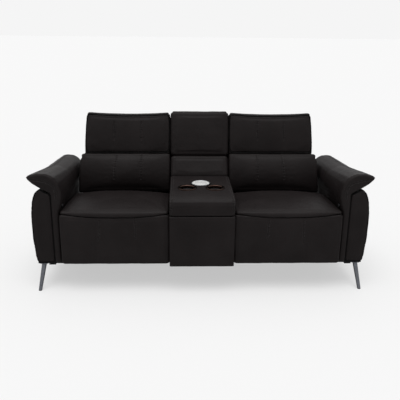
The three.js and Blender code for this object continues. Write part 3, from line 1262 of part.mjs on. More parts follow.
function leafPad() {
  const rear = LEAF_PIN[0] + LEAF_THICKNESS / 2;
  const bottom = TABLE_HEIGHT - LEAF_THICKNESS;
  const pad = cushion({
    from: -CONSOLE_HALF,
    to: CONSOLE_HALF,
    round: CUSHION_END,
    steps: CUSHION_STATIONS / 2,
    section: (across, seam, inset) => [
      { a: FRONT_Y, b: bottom, r: LEAF_FRONT_BOTTOM_EDGE + inset },
      { a: rear, b: bottom, r: LEAF_THICKNESS / 2 },
      { a: rear, b: TABLE_HEIGHT, r: LEAF_THICKNESS / 2 },
      { a: FRONT_Y, b: TABLE_HEIGHT, r: LEAF_FRONT_TOP_EDGE },
    ],
  });
  const slotWidth = PLATE + 2 * HINGE_SLOT_MARGIN;
  const slotReach = HINGE_RADIUS + HINGE_SLOT_MARGIN;
  const slots = mirroredPairs(HINGE_INSET - HINGE_SLOT_MARGIN, slotWidth).map(([low, high]) => block(
    [low, LEAF_PIN[0] - slotReach, bottom - OVERRUN],
    [high, rear + OVERRUN, LEAF_PIN[1] + slotReach],
  ));
  const wells = [-CUP_X, CUP_X].map((x) => upright(
    x, CUP_Y, TABLE_HEIGHT - CUP_DEPTH - TOUCH, TABLE_HEIGHT + OVERRUN, CUP_RADIUS + TOUCH,
  ));
  return cut(pad, leafCore(TOUCH), chargingPad(TOUCH), ...slots, ...wells);
}

// Assembly

const sofa = new THREE.Group();
const backs = new THREE.Group();
backs.position.set(0, BACK_FOOT_Y, BACK_FOOT_Z);
backs.rotation.x = -BACK_LEAN;
sofa.add(backs);

function add(group, name, geometry, material) {
  geometry.computeVertexNormals();
  const mesh = new THREE.Mesh(geometry, material);
  mesh.name = name;
  group.add(mesh);
}

// The right half's pieces, each with its twin on the left.
function addPair(group, name, geometry, material) {
  add(group, `right_${name}`, geometry, material);
  add(group, `left_${name}`, mirrored(geometry), material);
}

addPair(sofa, 'arm_core', armCore(), linedBoard);
addPair(sofa, 'arm_wing', armWing(), leather);
addPair(sofa, 'arm_bolster', armBolster(), leather);
addPair(sofa, 'front_leg', leg(BOARD_FRONT_END_Y, 1), gunmetal);
addPair(sofa, 'rear_leg', leg(BOARD_REAR_END_Y, -1), gunmetal);
addPair(sofa, 'outer_track', track(SEAT_OUTER_X - TRACK_INSET), blackSteel);
addPair(sofa, 'inner_track', track(SEAT_INNER_X + TRACK_INSET), blackSteel);
addPair(sofa, 'drive_unit', driveUnit(), plastic);
addPair(sofa, 'drive_rod', driveRod(), springSteel);
addPair(sofa, 'switch_bezel', switchBezel(), chrome);
addPair(sofa, 'recline_button', reclineButton(), plastic);
addPair(sofa, 'seat_frame', seatFrame(), blackSteel);
addPair(sofa, 'seat_springs', seatSprings(), springSteel);
addPair(sofa, 'seat_cushion', seatCushion(), leather);
addPair(sofa, 'footrest_rear_links', rearLinks(), blackSteel);
addPair(sofa, 'footrest_front_links', frontLinks(), blackSteel);
addPair(sofa, 'footrest_board', footrestBoard(), linedBoard);
addPair(sofa, 'footrest_pad', footrestPad(), leather);
addPair(backs, 'back_frame', backFrame(), blackSteel);
addPair(backs, 'lumbar_cushion', lumbarCushion(), leather);
addPair(backs, 'back_cover', backCover(), leather);
addPair(backs, 'headrest_core', headrestCore(), blackSteel);
addPair(backs, 'headrest_pad', headrestPad(), leather);

add(sofa, 'front_cross_rail', crossRail(FRONT_RAIL_Y), blackSteel);
add(sofa, 'rear_cross_rail', crossRail(REAR_RAIL_Y), blackSteel);
add(sofa, 'power_supply', powerSupply(), plastic);
add(sofa, 'console_carcass', consoleCarcass(), linedBoard);
add(sofa, 'console_cover', consoleCover(), leather);
add(sofa, 'console_back_shell', consoleBackShell(), leather);
add(backs, 'console_roll', consoleRoll(), leather);
add(backs, 'centre_headrest', centreHeadrest(), leather);
add(sofa, 'leaf_core', leafCore(0), linedBoard);
add(sofa, 'leaf_pad', leafPad(), leather);
add(sofa, 'right_cup_holder', cupHolder(), chrome);
add(sofa, 'left_cup_holder', mirrored(cupHolder()), chrome);
add(sofa, 'charging_pad', chargingPad(0), chrome);

export default sofa;
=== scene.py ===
import math

import bmesh
import bpy
import numpy as np
from mathutils import Matrix, Vector, noise
from mathutils.bvhtree import BVHTree


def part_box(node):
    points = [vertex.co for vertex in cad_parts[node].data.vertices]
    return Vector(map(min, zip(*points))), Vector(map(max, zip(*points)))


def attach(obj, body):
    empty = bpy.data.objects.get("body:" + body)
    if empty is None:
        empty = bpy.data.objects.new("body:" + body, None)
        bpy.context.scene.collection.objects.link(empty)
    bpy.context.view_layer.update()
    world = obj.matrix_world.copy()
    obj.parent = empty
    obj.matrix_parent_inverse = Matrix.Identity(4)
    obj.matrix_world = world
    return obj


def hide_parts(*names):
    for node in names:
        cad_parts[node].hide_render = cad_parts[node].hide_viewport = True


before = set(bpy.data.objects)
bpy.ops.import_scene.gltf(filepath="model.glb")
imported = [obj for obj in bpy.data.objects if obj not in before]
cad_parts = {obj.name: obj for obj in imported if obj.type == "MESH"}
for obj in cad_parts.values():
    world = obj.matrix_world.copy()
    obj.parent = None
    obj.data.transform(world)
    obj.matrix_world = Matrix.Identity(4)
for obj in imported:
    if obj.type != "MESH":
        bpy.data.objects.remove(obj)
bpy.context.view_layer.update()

# Camera
# It stands in front of the sofa, a little above a standing person's eyes, and looks down at it as the
# photograph does.

CAMERA_PLACE = Vector((-0.126, -3.535, 1.586))
CAMERA_PITCH = math.radians(17.76)
CAMERA_YAW = math.radians(-2.06)
CAMERA_LEAN = math.radians(-0.62)
FOCAL_LENGTH_PIXELS = 555.0
PICTURE_PIXELS = 400.0

camera_data = bpy.data.cameras.new("camera")
camera_data.lens = FOCAL_LENGTH_PIXELS / PICTURE_PIXELS * camera_data.sensor_width
camera = bpy.data.objects.new("camera", camera_data)
upright = Matrix.Rotation(CAMERA_YAW, 4, "Z") @ Matrix.Rotation(math.pi / 2 - CAMERA_PITCH, 4, "X")
camera.matrix_world = Matrix.Translation(CAMERA_PLACE) @ upright @ Matrix.Rotation(-CAMERA_LEAN, 4, "Z")
bpy.context.scene.collection.objects.link(camera)
bpy.context.scene.camera = camera

# Studio
# A pale floor that runs out of sight, one wide lamp high in front of the sofa that casts soft shadows, and
# a sky that is brighter overhead. The camera and all reflections see a plain backdrop in place of the sky.

BACKDROP_COLOUR = "#f5f5f5"
SKY_COLOUR = "#ffffff"
SKY_STRENGTH = (0.06, 0.95)  # at the horizon and overhead
LAMP_STRENGTH = 1.8
LAMP_SPREAD = math.radians(50)
LAMP_TILT = math.radians(16)  # from straight above towards the camera
LAMP_TURN = math.radians(-12)
FLOOR_HALF = 60.0
FLOOR_COLOUR = "#cacaca"
FLOOR_GLOW = 0.4  # how much of the floor that the camera sees is the plain backdrop
FLOOR_GLOW_STRENGTH = 1.41


def linear(colour):
    """An sRGB colour such as #1a2b3c, as linear red, green, blue and alpha."""
    parts = [int(colour[i:i + 2], 16) / 255 for i in (1, 3, 5)]
    return [p / 12.92 if p <= 0.04045 else ((p + 0.055) / 1.055) ** 2.4 for p in parts] + [1.0]


def add(tree, kind, inputs=None, **settings):
    """Adds a node with its settings. Each input is a value, or the socket of another node that feeds it."""
    made = tree.nodes.new(kind)
    for name, value in settings.items():
        setattr(made, name, value)
    for name, value in (inputs or {}).items():
        if isinstance(value, bpy.types.NodeSocket):
            tree.links.new(value, made.inputs[name])
        else:
            made.inputs[name].default_value = value
    return made


def larger(tree, one, other):
    """The larger of two values."""
    return add(tree, "ShaderNodeMath", {0: one, 1: other}, operation="MAXIMUM").outputs[0]


def between(tree, value, ends, run=(0.0, 1.0)):
    """Goes from one end to the other while a value goes over its run."""
    return add(tree, "ShaderNodeMapRange", {
        "Value": value, "From Min": run[0], "From Max": run[1], "To Min": ends[0], "To Max": ends[1],
    }).outputs["Result"]


def new_material(name):
    """An empty material, its node tree and its output node."""
    material = bpy.data.materials.new(name)
    material.use_nodes = True
    material.node_tree.nodes.clear()
    return material, material.node_tree, material.node_tree.nodes.new("ShaderNodeOutputMaterial")


def make_floor():
    """One square, part of whose light for the camera is the backdrop's own."""
    corners = [(-FLOOR_HALF, -FLOOR_HALF, 0), (FLOOR_HALF, -FLOOR_HALF, 0),
               (FLOOR_HALF, FLOOR_HALF, 0), (-FLOOR_HALF, FLOOR_HALF, 0)]
    mesh = bpy.data.meshes.new("floor")
    mesh.from_pydata(corners, [], [(0, 1, 2, 3)])
    floor = bpy.data.objects.new("floor", mesh)
    bpy.context.scene.collection.objects.link(floor)
    material, tree, output = new_material("white_studio_floor")
    matt = add(tree, "ShaderNodeBsdfDiffuse", {"Color": linear(FLOOR_COLOUR)})
    glow = add(tree, "ShaderNodeEmission", {
        "Color": linear(BACKDROP_COLOUR), "Strength": FLOOR_GLOW_STRENGTH,
    })
    seen = add(tree, "ShaderNodeLightPath").outputs["Is Camera Ray"]
    share = add(tree, "ShaderNodeMath", {0: seen, 1: FLOOR_GLOW}, operation="MULTIPLY")
    mix = add(tree, "ShaderNodeMixShader", {0: share.outputs[0], 1: matt.outputs[0], 2: glow.outputs[0]})
    tree.links.new(mix.outputs[0], output.inputs["Surface"])
    mesh.materials.append(material)


def light_studio():
    """The lamp, and the sky with the backdrop that hides it."""
    lamp_data = bpy.data.lights.new("lamp", "SUN")
    lamp_data.energy = LAMP_STRENGTH
    lamp_data.angle = LAMP_SPREAD
    lamp = bpy.data.objects.new("lamp", lamp_data)
    lamp.matrix_world = Matrix.Rotation(LAMP_TURN, 4, "Z") @ Matrix.Rotation(LAMP_TILT, 4, "X")
    bpy.context.scene.collection.objects.link(lamp)
    world = bpy.data.worlds.new("studio")
    world.use_nodes = True
    bpy.context.scene.world = world
    tree = world.node_tree
    tree.nodes.clear()
    rays = add(tree, "ShaderNodeLightPath").outputs
    mirrored = larger(tree, rays["Is Glossy Ray"], rays["Is Transmission Ray"])
    seen = larger(tree, rays["Is Camera Ray"], mirrored)
    way = add(tree, "ShaderNodeSeparateXYZ", {0: add(tree, "ShaderNodeTexCoord").outputs["Generated"]})
    strength = between(tree, way.outputs["Z"], SKY_STRENGTH)
    sky = add(tree, "ShaderNodeBackground", {"Color": linear(SKY_COLOUR), "Strength": strength})
    backdrop = add(tree, "ShaderNodeBackground", {"Color": linear(BACKDROP_COLOUR), "Strength": 1.0})
    mix = add(tree, "ShaderNodeMixShader", {0: seen, 1: sky.outputs[0], 2: backdrop.outputs[0]})
    output = add(tree, "ShaderNodeOutputWorld")
    tree.links.new(mix.outputs[0], output.inputs["Surface"])


make_floor()
light_studio()
bpy.context.scene.view_settings.view_transform = "Standard"

# Chassis: cross rails, tracks, seat frames, back frames and footrest links
# Rolled and welded steel, powder coated black in an oven after welding. The coat has a faint orange peel, and
# grey dust lies in it unevenly.

SIDES = (("right", 1), ("left", -1))
COAT_COLOUR = "#161618"
COAT_DUSTY_COLOUR = "#242427"
COAT_ROUGHNESS = (0.34, 0.62)  # where it is clean, and where it is dusty
COAT_SPECULAR = 0.4
DUST_MM = 120.0
DUST_RUN = (0.4, 0.75)
ORANGE_PEEL_MM = 4.0
ORANGE_PEEL_DEPTH = 0.0004


def per_metre(millimetres):
    """A pattern's scale, from the real size of one cell."""
    return 1000.0 / millimetres


def own_place(tree):
    """Where a point lies on its piece, in metres."""
    return add(tree, "ShaderNodeTexCoord").outputs["Object"]


def patches(tree, place, cell_mm, detail, roughness=0.5, distortion=0.0):
    """Soft noise whose cells have a real size."""
    return add(tree, "ShaderNodeTexNoise", {
        "Vector": place, "Scale": per_metre(cell_mm), "Detail": detail,
        "Roughness": roughness, "Distortion": distortion,
    }).outputs["Fac"]


def two_tones(tree, value, colour, other_colour, run=(0.0, 1.0)):
    """A colour that goes from one tone to another while a value goes over its run."""
    tones = add(tree, "ShaderNodeValToRGB", {"Fac": value})
    for number, tone in enumerate((colour, other_colour)):
        tones.color_ramp.elements[number].position = run[number]
        tones.color_ramp.elements[number].color = linear(tone)
    return tones.outputs["Color"]


def raised(tree, height, strength, depth, under=None, invert=False):
    """A surface's direction where a pattern raises it, over an earlier one if given."""
    inputs = {"Height": height, "Strength": strength, "Distance": depth}
    if under:
        inputs["Normal"] = under
    return add(tree, "ShaderNodeBump", inputs, invert=invert).outputs["Normal"]


def give_surface(tree, output, inputs):
    """Makes a material's surface and feeds its output with it."""
    surface = add(tree, "ShaderNodeBsdfPrincipled", inputs)
    tree.links.new(surface.outputs["BSDF"], output.inputs["Surface"])


def powder_coat():
    material, tree, output = new_material("powder_coated_steel_black")
    place = own_place(tree)
    dust = patches(tree, place, DUST_MM, detail=4.0)
    peel = patches(tree, place, ORANGE_PEEL_MM, detail=1.0)
    give_surface(tree, output, {
        "Base Color": two_tones(tree, dust, COAT_COLOUR, COAT_DUSTY_COLOUR, DUST_RUN),
        "Roughness": between(tree, dust, COAT_ROUGHNESS),
        "Normal": raised(tree, peel, strength=0.25, depth=ORANGE_PEEL_DEPTH),
        "Specular IOR Level": COAT_SPECULAR,
    })
    return material


def finish(material, *names):
    """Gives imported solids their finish."""
    for name in names:
        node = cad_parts[name]
        node.data.materials.clear()
        node.data.materials.append(material)


def both(*names):
    """The names of both twins of each part."""
    return [f"{side}_{name}" for side, _ in SIDES for name in names]


black_powder_coat = powder_coat()
finish(black_powder_coat, "front_cross_rail", "rear_cross_rail")
finish(black_powder_coat, *both("outer_track", "inner_track", "seat_frame", "back_frame", "headrest_core",
                                "footrest_rear_links", "footrest_front_links"))

# Drives and power supply
# Housings of moulded ABS with a spark-eroded matt texture, screwed to the rails. The rod that each drive
# pushes is drawn and ground steel, and so are the springs.

ABS_COLOUR = "#101011"
ABS_PALE_COLOUR = "#19191a"
ABS_ROUGHNESS = (0.4, 0.55)
ABS_IOR = 1.54
ABS_SPECULAR = 0.45
ERODED_MM = 2.5
ERODED_DEPTH = 0.0003

# Each bare metal has its tone, its darker tone, its least and most roughness, and the sizes of its streaks
# along X, Y and Z in millimetres.
DRAWN_STEEL = ("#9a9c9f", "#6c6e72", (0.28, 0.42), (60, 60, 1.5))
STREAK_TONE_RUN = (0.35, 0.7)
STREAK_ROUGHNESS_RUN = (0.3, 0.7)
STREAK_DEPTH = 0.0002


def moulded_plastic():
    material, tree, output = new_material("moulded_abs_black")
    eroded = patches(tree, own_place(tree), ERODED_MM, detail=3.0)
    give_surface(tree, output, {
        "Base Color": two_tones(tree, eroded, ABS_COLOUR, ABS_PALE_COLOUR),
        "Roughness": between(tree, eroded, ABS_ROUGHNESS),
        "Normal": raised(tree, eroded, strength=0.3, depth=ERODED_DEPTH),
        "IOR": ABS_IOR, "Specular IOR Level": ABS_SPECULAR,
    })
    return material


def streaks(tree, place, sizes_mm, detail):
    """Soft noise whose cells have real sizes along X, Y and Z."""
    stretched = add(tree, "ShaderNodeVectorMath", {0: place, 1: [per_metre(size) for size in sizes_mm]},
                    operation="MULTIPLY")
    return add(tree, "ShaderNodeTexNoise", {
        "Vector": stretched.outputs[0], "Scale": 1.0, "Detail": detail,
    }).outputs["Fac"]


def worked_metal(name, colour, dark_colour, roughness, streak_mm):
    """A bare metal whose colour and gloss vary along fine streaks."""
    material, tree, output = new_material(name)
    marks = streaks(tree, own_place(tree), streak_mm, detail=4.0)
    give_surface(tree, output, {
        "Base Color": two_tones(tree, marks, dark_colour, colour, STREAK_TONE_RUN),
        "Roughness": between(tree, marks, roughness, STREAK_ROUGHNESS_RUN),
        "Normal": raised(tree, marks, strength=0.12, depth=STREAK_DEPTH),
        "Metallic": 1.0,
    })
    return material


black_abs = moulded_plastic()
drawn_steel = worked_metal("drawn_spring_steel", *DRAWN_STEEL)
finish(black_abs, "power_supply", *both("drive_unit"))
finish(drawn_steel, *both("drive_rod", "seat_springs"))

# Boards: arm cores, footrest boards, console carcass and leaf board
# Plywood, stapled all over with the thin black nonwoven cloth that lines a sofa's underside, so that no bare
# wood shows. Its fibres catch a little light.

LINING_COLOUR = "#141415"
LINING_FIBRE_COLOUR = "#222223"
LINING_ROUGHNESS = 0.9
LINING_SPECULAR = 0.1
LINING_SHEEN = 0.05
FIBRE_MM = 1.6  # real fibres are under a tenth of a millimetre thick; drawn coarser, so that they show
FIBRE_LENGTH_MM = 14.0
FIBRE_RUN = (0.5, 0.8)
FIBRE_DEPTH = 0.0005


def nonwoven_lining():
    """Three layers of fibres, each thin along its own axis, lie over one another."""
    material, tree, output = new_material("nonwoven_lining_black")
    place = own_place(tree)
    layers = []
    for thin_axis in range(3):
        sizes = [FIBRE_MM if axis == thin_axis else FIBRE_LENGTH_MM for axis in range(3)]
        layers.append(streaks(tree, place, sizes, detail=3.0))
    fibres = larger(tree, larger(tree, layers[0], layers[1]), layers[2])
    give_surface(tree, output, {
        "Base Color": two_tones(tree, fibres, LINING_COLOUR, LINING_FIBRE_COLOUR, FIBRE_RUN),
        "Roughness": LINING_ROUGHNESS,
        "Normal": raised(tree, fibres, strength=0.4, depth=FIBRE_DEPTH),
        "Specular IOR Level": LINING_SPECULAR, "Sheen Weight": LINING_SHEEN,
    })
    return material


finish(nonwoven_lining(), "console_carcass", "leaf_core", *both("arm_core", "footrest_board"))

# Legs
# Slim splayed steel tubes, tapered by swaging and plated in dark nickel, each welded to a plate that four
# screws hold under the arm. A nylon glide closes the foot.

LEG_FOOT = Vector((0.993, -0.412, 0.0))
LEG_TOP = Vector((0.972, -0.343, 0.156))
LEG_FOOT_RADIUS = 0.0105
LEG_TOP_RADIUS = 0.015
LEG_SIDES = 40
LEG_RINGS = 14
LEG_PLATE_LOW = Vector((0.944, -0.360, 0.154))
LEG_PLATE_SIZE = Vector((0.056, 0.056, 0.004))
LEG_PLATE_CORNER = 0.006
LEG_PLATE_EDGE = 0.0006
TUBE_END = (-0.0012, -0.0004)  # how the tube closes on the glide: in its radius, and in its height
WELD_HEIGHT = 0.006
WELD_WIDTH = 0.0027
WELD_STEPS = 4
SCREW_INSET = 0.009
SCREW_SIDES = 16
SCREW_PROFILE = [(0.0012, -0.0002), (0.0014, -0.0012), (0.0024, -0.0018), (0.00368, -0.0012),
                 (0.004, 0.0002)]
GLIDE_HEIGHT = 0.005
GLIDE_PROFILE = [(-0.0016, 0.0), (-0.0004, 0.0008), (0.0, 0.002), (0.0, 0.0042), (-0.001, 0.005)]
REAR_LEG_SHIFT = 0.01  # a rear leg is a front leg's mirror image, moved back by this
CRISP_DEGREES = 40  # an edge that bends more than this stays crisp on a hard piece
CRISP_ON_CORDS = 80

# Dark nickel over polished steel: a dim mirror with faint streaks along the leg.
DARK_NICKEL = ("#74767b", "#55575c", (0.2, 0.34), (2.0, 2.0, 70))


def link(name, mesh, material=None):
    """Makes a piece of a mesh."""
    piece = bpy.data.objects.new(name, mesh)
    bpy.context.scene.collection.objects.link(piece)
    if material:
        mesh.materials.clear()
        mesh.materials.append(material)
    return piece


def place_hard(name, mesh, material, body, node=None):
    """A hard piece on its body, in place of a node's solid if one is named."""
    piece = link(name, mesh, material)
    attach(piece, body)
    if node:
        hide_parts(node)


def smooth_faces(mesh, crisp_degrees=CRISP_DEGREES):
    """Smooth shading, with edges that bend sharply kept crisp."""
    shape = bmesh.new()
    shape.from_mesh(mesh)
    bmesh.ops.recalc_face_normals(shape, faces=shape.faces)
    for edge in shape.edges:
        edge.smooth = len(edge.link_faces) == 2 and edge.calc_face_angle(0) < math.radians(crisp_degrees)
    for face in shape.faces:
        face.smooth = True
    shape.to_mesh(mesh)
    shape.free()
    return mesh


def ring_of(middle, across, along, radius, sides):
    """Points round a middle, in the plane of two directions."""
    turns = [2 * math.pi * side / sides for side in range(sides)]
    return [middle + (across * math.cos(turn) + along * math.sin(turn)) * radius for turn in turns]


def tubes_through(name, runs, closed=False, crisp_degrees=CRISP_DEGREES):
    """A mesh of tubes, each a run of rings of points that closes to a loop or has two flat ends."""
    points, faces = [], []
    for rings in runs:
        first, count, sides = len(points), len(rings), len(rings[0])
        points += [point for ring in rings for point in ring]
        for number in range(count if closed else count - 1):
            low, high = first + number * sides, first + (number + 1) % count * sides
            for side in range(sides):
                after = (side + 1) % sides
                faces.append((low + side, low + after, high + after, high + side))
        if not closed:
            faces.append(tuple(reversed(range(first, first + sides))))
            faces.append(tuple(range(len(points) - sides, len(points))))
    mesh = bpy.data.meshes.new(name)
    mesh.from_pydata(points, [], faces)
    return smooth_faces(mesh, crisp_degrees)


def turned(name, profile, sides, place):
    """A closed form of rings. profile holds (radius, height); place gives a ring's middle and directions."""
    return tubes_through(name, [[ring_of(*place(height), radius, sides) for radius, height in profile]])


def upright_at(x, y, base):
    """Rings about a standing axis, at heights above a base."""
    return lambda height: (Vector((x, y, base + height)), Vector((1, 0, 0)), Vector((0, 1, 0)))


def joined(name, meshes):
    """One mesh from several."""
    shape = bmesh.new()
    for mesh in meshes:
        shape.from_mesh(mesh)
        bpy.data.meshes.remove(mesh)
    whole = bpy.data.meshes.new(name)
    shape.to_mesh(whole)
    shape.free()
    return whole


def points_of(mesh):
    flat = np.zeros(len(mesh.vertices) * 3)
    mesh.vertices.foreach_get("co", flat)
    return flat.reshape(-1, 3)


def move_points(mesh, points):
    mesh.vertices.foreach_set("co", points.astype(np.float32).ravel())
    mesh.update()


def reflected(mesh, axis, about=0.0):
    """A mirror image across a plane square to an axis."""
    twin = mesh.copy()
    points = points_of(twin)
    points[:, axis] = 2 * about - points[:, axis]
    twin.flip_normals()
    move_points(twin, points)
    return twin


def leg_ring(height):
    return LEG_FOOT.lerp(LEG_TOP, height / LEG_TOP.z), Vector((1, 0, 0)), Vector((0, 1, 0))


def leg_radius(height):
    return LEG_FOOT_RADIUS + (LEG_TOP_RADIUS - LEG_FOOT_RADIUS) * height / LEG_TOP.z


def leg_tube():
    """The tapered tube, which the weld widens just under its plate."""
    weld_low = LEG_PLATE_LOW.z - WELD_HEIGHT
    profile = [(leg_radius(GLIDE_HEIGHT) + TUBE_END[0], GLIDE_HEIGHT + TUBE_END[1])]
    for ring in range(LEG_RINGS + 1):
        height = GLIDE_HEIGHT + (weld_low - GLIDE_HEIGHT) * ring / LEG_RINGS
        profile.append((leg_radius(height), height))
    for step in range(1, WELD_STEPS + 1):
        share = step / WELD_STEPS
        height = weld_low + WELD_HEIGHT * share
        profile.append((leg_radius(height) + WELD_WIDTH * (1 - math.cos(math.pi / 2 * share)), height))
    return turned("tube", profile, LEG_SIDES, leg_ring)


def leg_plate():
    """A plate with rounded corners and softened edges."""
    shape = bmesh.new()
    placed = Matrix.Translation(LEG_PLATE_LOW + LEG_PLATE_SIZE / 2) @ Matrix.Diagonal((*LEG_PLATE_SIZE, 1))
    bmesh.ops.create_cube(shape, size=1, matrix=placed)
    corners = [e for e in shape.edges if abs(e.verts[0].co.z - e.verts[1].co.z) > LEG_PLATE_SIZE.z / 2]
    bmesh.ops.bevel(shape, geom=corners, offset=LEG_PLATE_CORNER, segments=5, affect="EDGES")
    rims = [e for e in shape.edges if len(e.link_faces) == 2 and e.calc_face_angle(0) > 1]
    bmesh.ops.bevel(shape, geom=rims, offset=LEG_PLATE_EDGE, segments=2, affect="EDGES")
    plate = bpy.data.meshes.new("plate")
    shape.to_mesh(plate)
    shape.free()
    return smooth_faces(plate)


def make_leg():
    """The front right leg: the tube, its plate and four screws."""
    parts = [leg_tube(), leg_plate()]
    for x in (SCREW_INSET, LEG_PLATE_SIZE.x - SCREW_INSET):
        for y in (SCREW_INSET, LEG_PLATE_SIZE.y - SCREW_INSET):
            at = upright_at(LEG_PLATE_LOW.x + x, LEG_PLATE_LOW.y + y, LEG_PLATE_LOW.z)
            parts.append(turned("screw", SCREW_PROFILE, SCREW_SIDES, at))
    return joined("leg", parts)


def make_glide():
    """The glide. Its profile holds what is added to the foot's radius, and heights."""
    profile = [(LEG_FOOT_RADIUS + more, height) for more, height in GLIDE_PROFILE]
    return turned("glide", profile, LEG_SIDES, leg_ring)


def make_legs():
    leg_mesh, glide_mesh = make_leg(), make_glide()
    dark_nickel = worked_metal("dark_nickel_plated_steel", *DARK_NICKEL)
    for end in ("front", "rear"):
        for side, sign in SIDES:
            for part, mesh, material, slot in (("leg", leg_mesh, dark_nickel, "leg_metal"),
                                               ("glide", glide_mesh, black_abs, "black_plastic")):
                placed = mesh.copy()
                if end == "rear":
                    placed = reflected(placed, 1, REAR_LEG_SHIFT / 2)
                if sign < 0:
                    placed = reflected(placed, 0)
                node = f"{side}_{end}_leg" if part == "leg" else None
                place_hard(f"{side}_{end}_{part}_turned", placed, material, "base", node)


make_legs()

# Leather
# Full-grain cowhide, drum-dyed black and finished with a thin satin pigment coat. Its pebbled grain breaks up
# the light, and handling leaves it a little smoother and a little paler here and there.

HIDE_COLOUR = "#161212"
HIDE_WORN_COLOUR = "#1d1919"
HIDE_ROUGHNESS = (0.42, 0.6)
HIDE_SPECULAR = 0.12
HIDE_IOR = 1.5
PEBBLE_MM = 3.2  # real pebbles are about 1.2 mm; drawn coarser, so that they show
PEBBLE_RUN = (0.0, 0.7)
PEBBLE_DEPTH = 0.0006
WRINKLE_MM = 22.0
WRINKLE_DEPTH = 0.002
WEAR_MM = 180.0
WEAR_RUN = (0.3, 0.7)

# The hide that is wrapped round the piping cord is pulled tight, which smooths it. It is drawn much darker
# than the rest, so that the lit cord reads as a dark line of shade along its seam: painted shade.
PIPING_SHADE_COLOUR = "#060606"
PIPING_SHADE_WORN_COLOUR = "#0a0909"
PIPING_SPECULAR = 0.08


def leather(name, colour, worn_colour, specular):
    """Dyed hide: wear in its tone, pebbles in its gloss and relief, and wrinkles over them."""
    material, tree, output = new_material(name)
    place = own_place(tree)
    wear = patches(tree, place, WEAR_MM, detail=3.0)
    wrinkles = patches(tree, place, WRINKLE_MM, detail=5.0, roughness=0.62, distortion=0.6)
    pebbles = add(tree, "ShaderNodeTexVoronoi", {"Vector": place, "Scale": per_metre(PEBBLE_MM)},
                  feature="SMOOTH_F1").outputs["Distance"]
    grain = raised(tree, pebbles, strength=0.35, depth=PEBBLE_DEPTH, invert=True)
    give_surface(tree, output, {
        "Base Color": two_tones(tree, between(tree, wear, (0.0, 1.0), WEAR_RUN), colour, worn_colour),
        "Roughness": between(tree, pebbles, HIDE_ROUGHNESS, PEBBLE_RUN),
        "Normal": raised(tree, wrinkles, strength=0.5, depth=WRINKLE_DEPTH, under=grain),
        "Specular IOR Level": specular, "IOR": HIDE_IOR,
    })
    return material


black_leather = leather("full_grain_leather_black", HIDE_COLOUR, HIDE_WORN_COLOUR, HIDE_SPECULAR)
# The piping hide is far darker than the hide itself: painted shade along the seams.
piping_leather_painted_shade = leather("piping_leather_black", PIPING_SHADE_COLOUR, PIPING_SHADE_WORN_COLOUR, PIPING_SPECULAR)

# Thread
# Bonded polyester, dyed black and twisted from three strands. Its twist gives each stitch a faint stripe,
# whose lighter bands are painted highlight along the strands.

THREAD_COLOUR = "#1c1b1b"
THREAD_LIT_COLOUR = "#302e2e"
THREAD_ROUGHNESS = 0.5
THREAD_SPECULAR = 0.3
THREAD_SHEEN = 0.1
TWIST_MM = 8.4  # puts the stripes about 3 mm apart, coarser than a real thread's, so that they show
TWIST_DEPTH = 0.0003


def twisted_thread():
    material, tree, output = new_material("bonded_polyester_thread_black")
    twist = add(tree, "ShaderNodeTexWave", {
        "Vector": own_place(tree), "Scale": per_metre(TWIST_MM), "Distortion": 1.5,
    }, bands_direction="DIAGONAL").outputs["Fac"]
    give_surface(tree, output, {
        # The lighter tone along the twist is painted highlight.
        "Base Color": two_tones(tree, twist, THREAD_COLOUR, THREAD_LIT_COLOUR),
        "Roughness": THREAD_ROUGHNESS,
        "Normal": raised(tree, twist, strength=0.4, depth=TWIST_DEPTH),
        "Specular IOR Level": THREAD_SPECULAR, "Sheen Weight": THREAD_SHEEN,
    })
    return material


black_thread = twisted_thread()

# Arms
# Each arm is a board with a padded panel on its inner side, which rolls outward over the top into a wing, and
# a fat bolster outside. Foam and wadding under sewn leather covers, stapled under the base board.

VOXEL = 0.008
CALMING = 4  # rounds of smoothing
NOT_GROWN = ((0, 0, 0), (0, 0, 0))
DRAWN_IN = 0.003  # how far inside its shape a pad starts before it is blown up
PRESSURE = 4.0
STIFFNESS = 15.0
LAST_FRAME = 7
PRESSED = 0.007  # how far in a side counts as lying against its neighbour
UNDULATION = (0.0012, 90.0)  # depth, and length in millimetres
PUCKER = (0.0004, 26.0)
SEAM_DEPTH = 0.003
SEAM_WIDTH = 0.0045
SEAM_REACH = 0.02
SEAM_STEP = 0.002
SEAM_RIDGE = (0.22, 2.2)  # the rise beside a seam, in seam depths, and its place, in seam widths
REFINED_BY_SEAM = 0.7  # how much of the reach is made finer beside a seam, and beside piping
REFINED_BY_PIPING = 0.5
GATHER = (0.0007, 0.017, 0.011)  # depth, length and reach of the folds that a seam draws up beside it
GATHER_DRIFT = (3.0, 0.05)  # how much the folds crowd and spread, and over what length
BATCH = 4000  # points measured at once
STITCH_PITCH = 0.0075
STITCH_LENGTH = 0.0054
STITCH_RADIUS = 0.0006
STITCH_OFFSET = 0.0055  # from the seam to each of its two rows
STITCH_SIDES = 6
# A stitch's rings: place along it in stitch lengths, then size and height in stitch radii.
STITCH_RINGS = [(-0.5, 0.35, -0.4), (-0.32, 1.0, 0.35), (0.0, 1.1, 0.6), (0.32, 1.0, 0.35),
                (0.5, 0.35, -0.4)]
PIPING_RADIUS = 0.0042
PIPING_GROOVE = 0.005
PIPING_STEP = 0.005
PIPING_SIDES = 8
PIPING_LIFT = 0.7  # how far its middle stands out of the hide, in radii
PIPING_CALMING = 3

WING_SEAM_DEPTH = 0.0022
WING_CREASE = [(0.864, -0.4, 0.585), (0.862, -0.4, 0.63), (0.880, -0.4, 0.672), (0.915, -0.4, 0.690),
               (0.965, -0.4, 0.700), (1.015, -0.4, 0.708)]
WING_CREST = [(1.015, -0.375, 0.735), (0.990, -0.300, 0.735), (0.965, -0.180, 0.72), (0.952, 0.0, 0.70),
              (0.945, 0.2, 0.69), (0.938, 0.39, 0.68)]
BOLSTER_PIPING = ((0, -0.384, 0), (0, 1, 0))


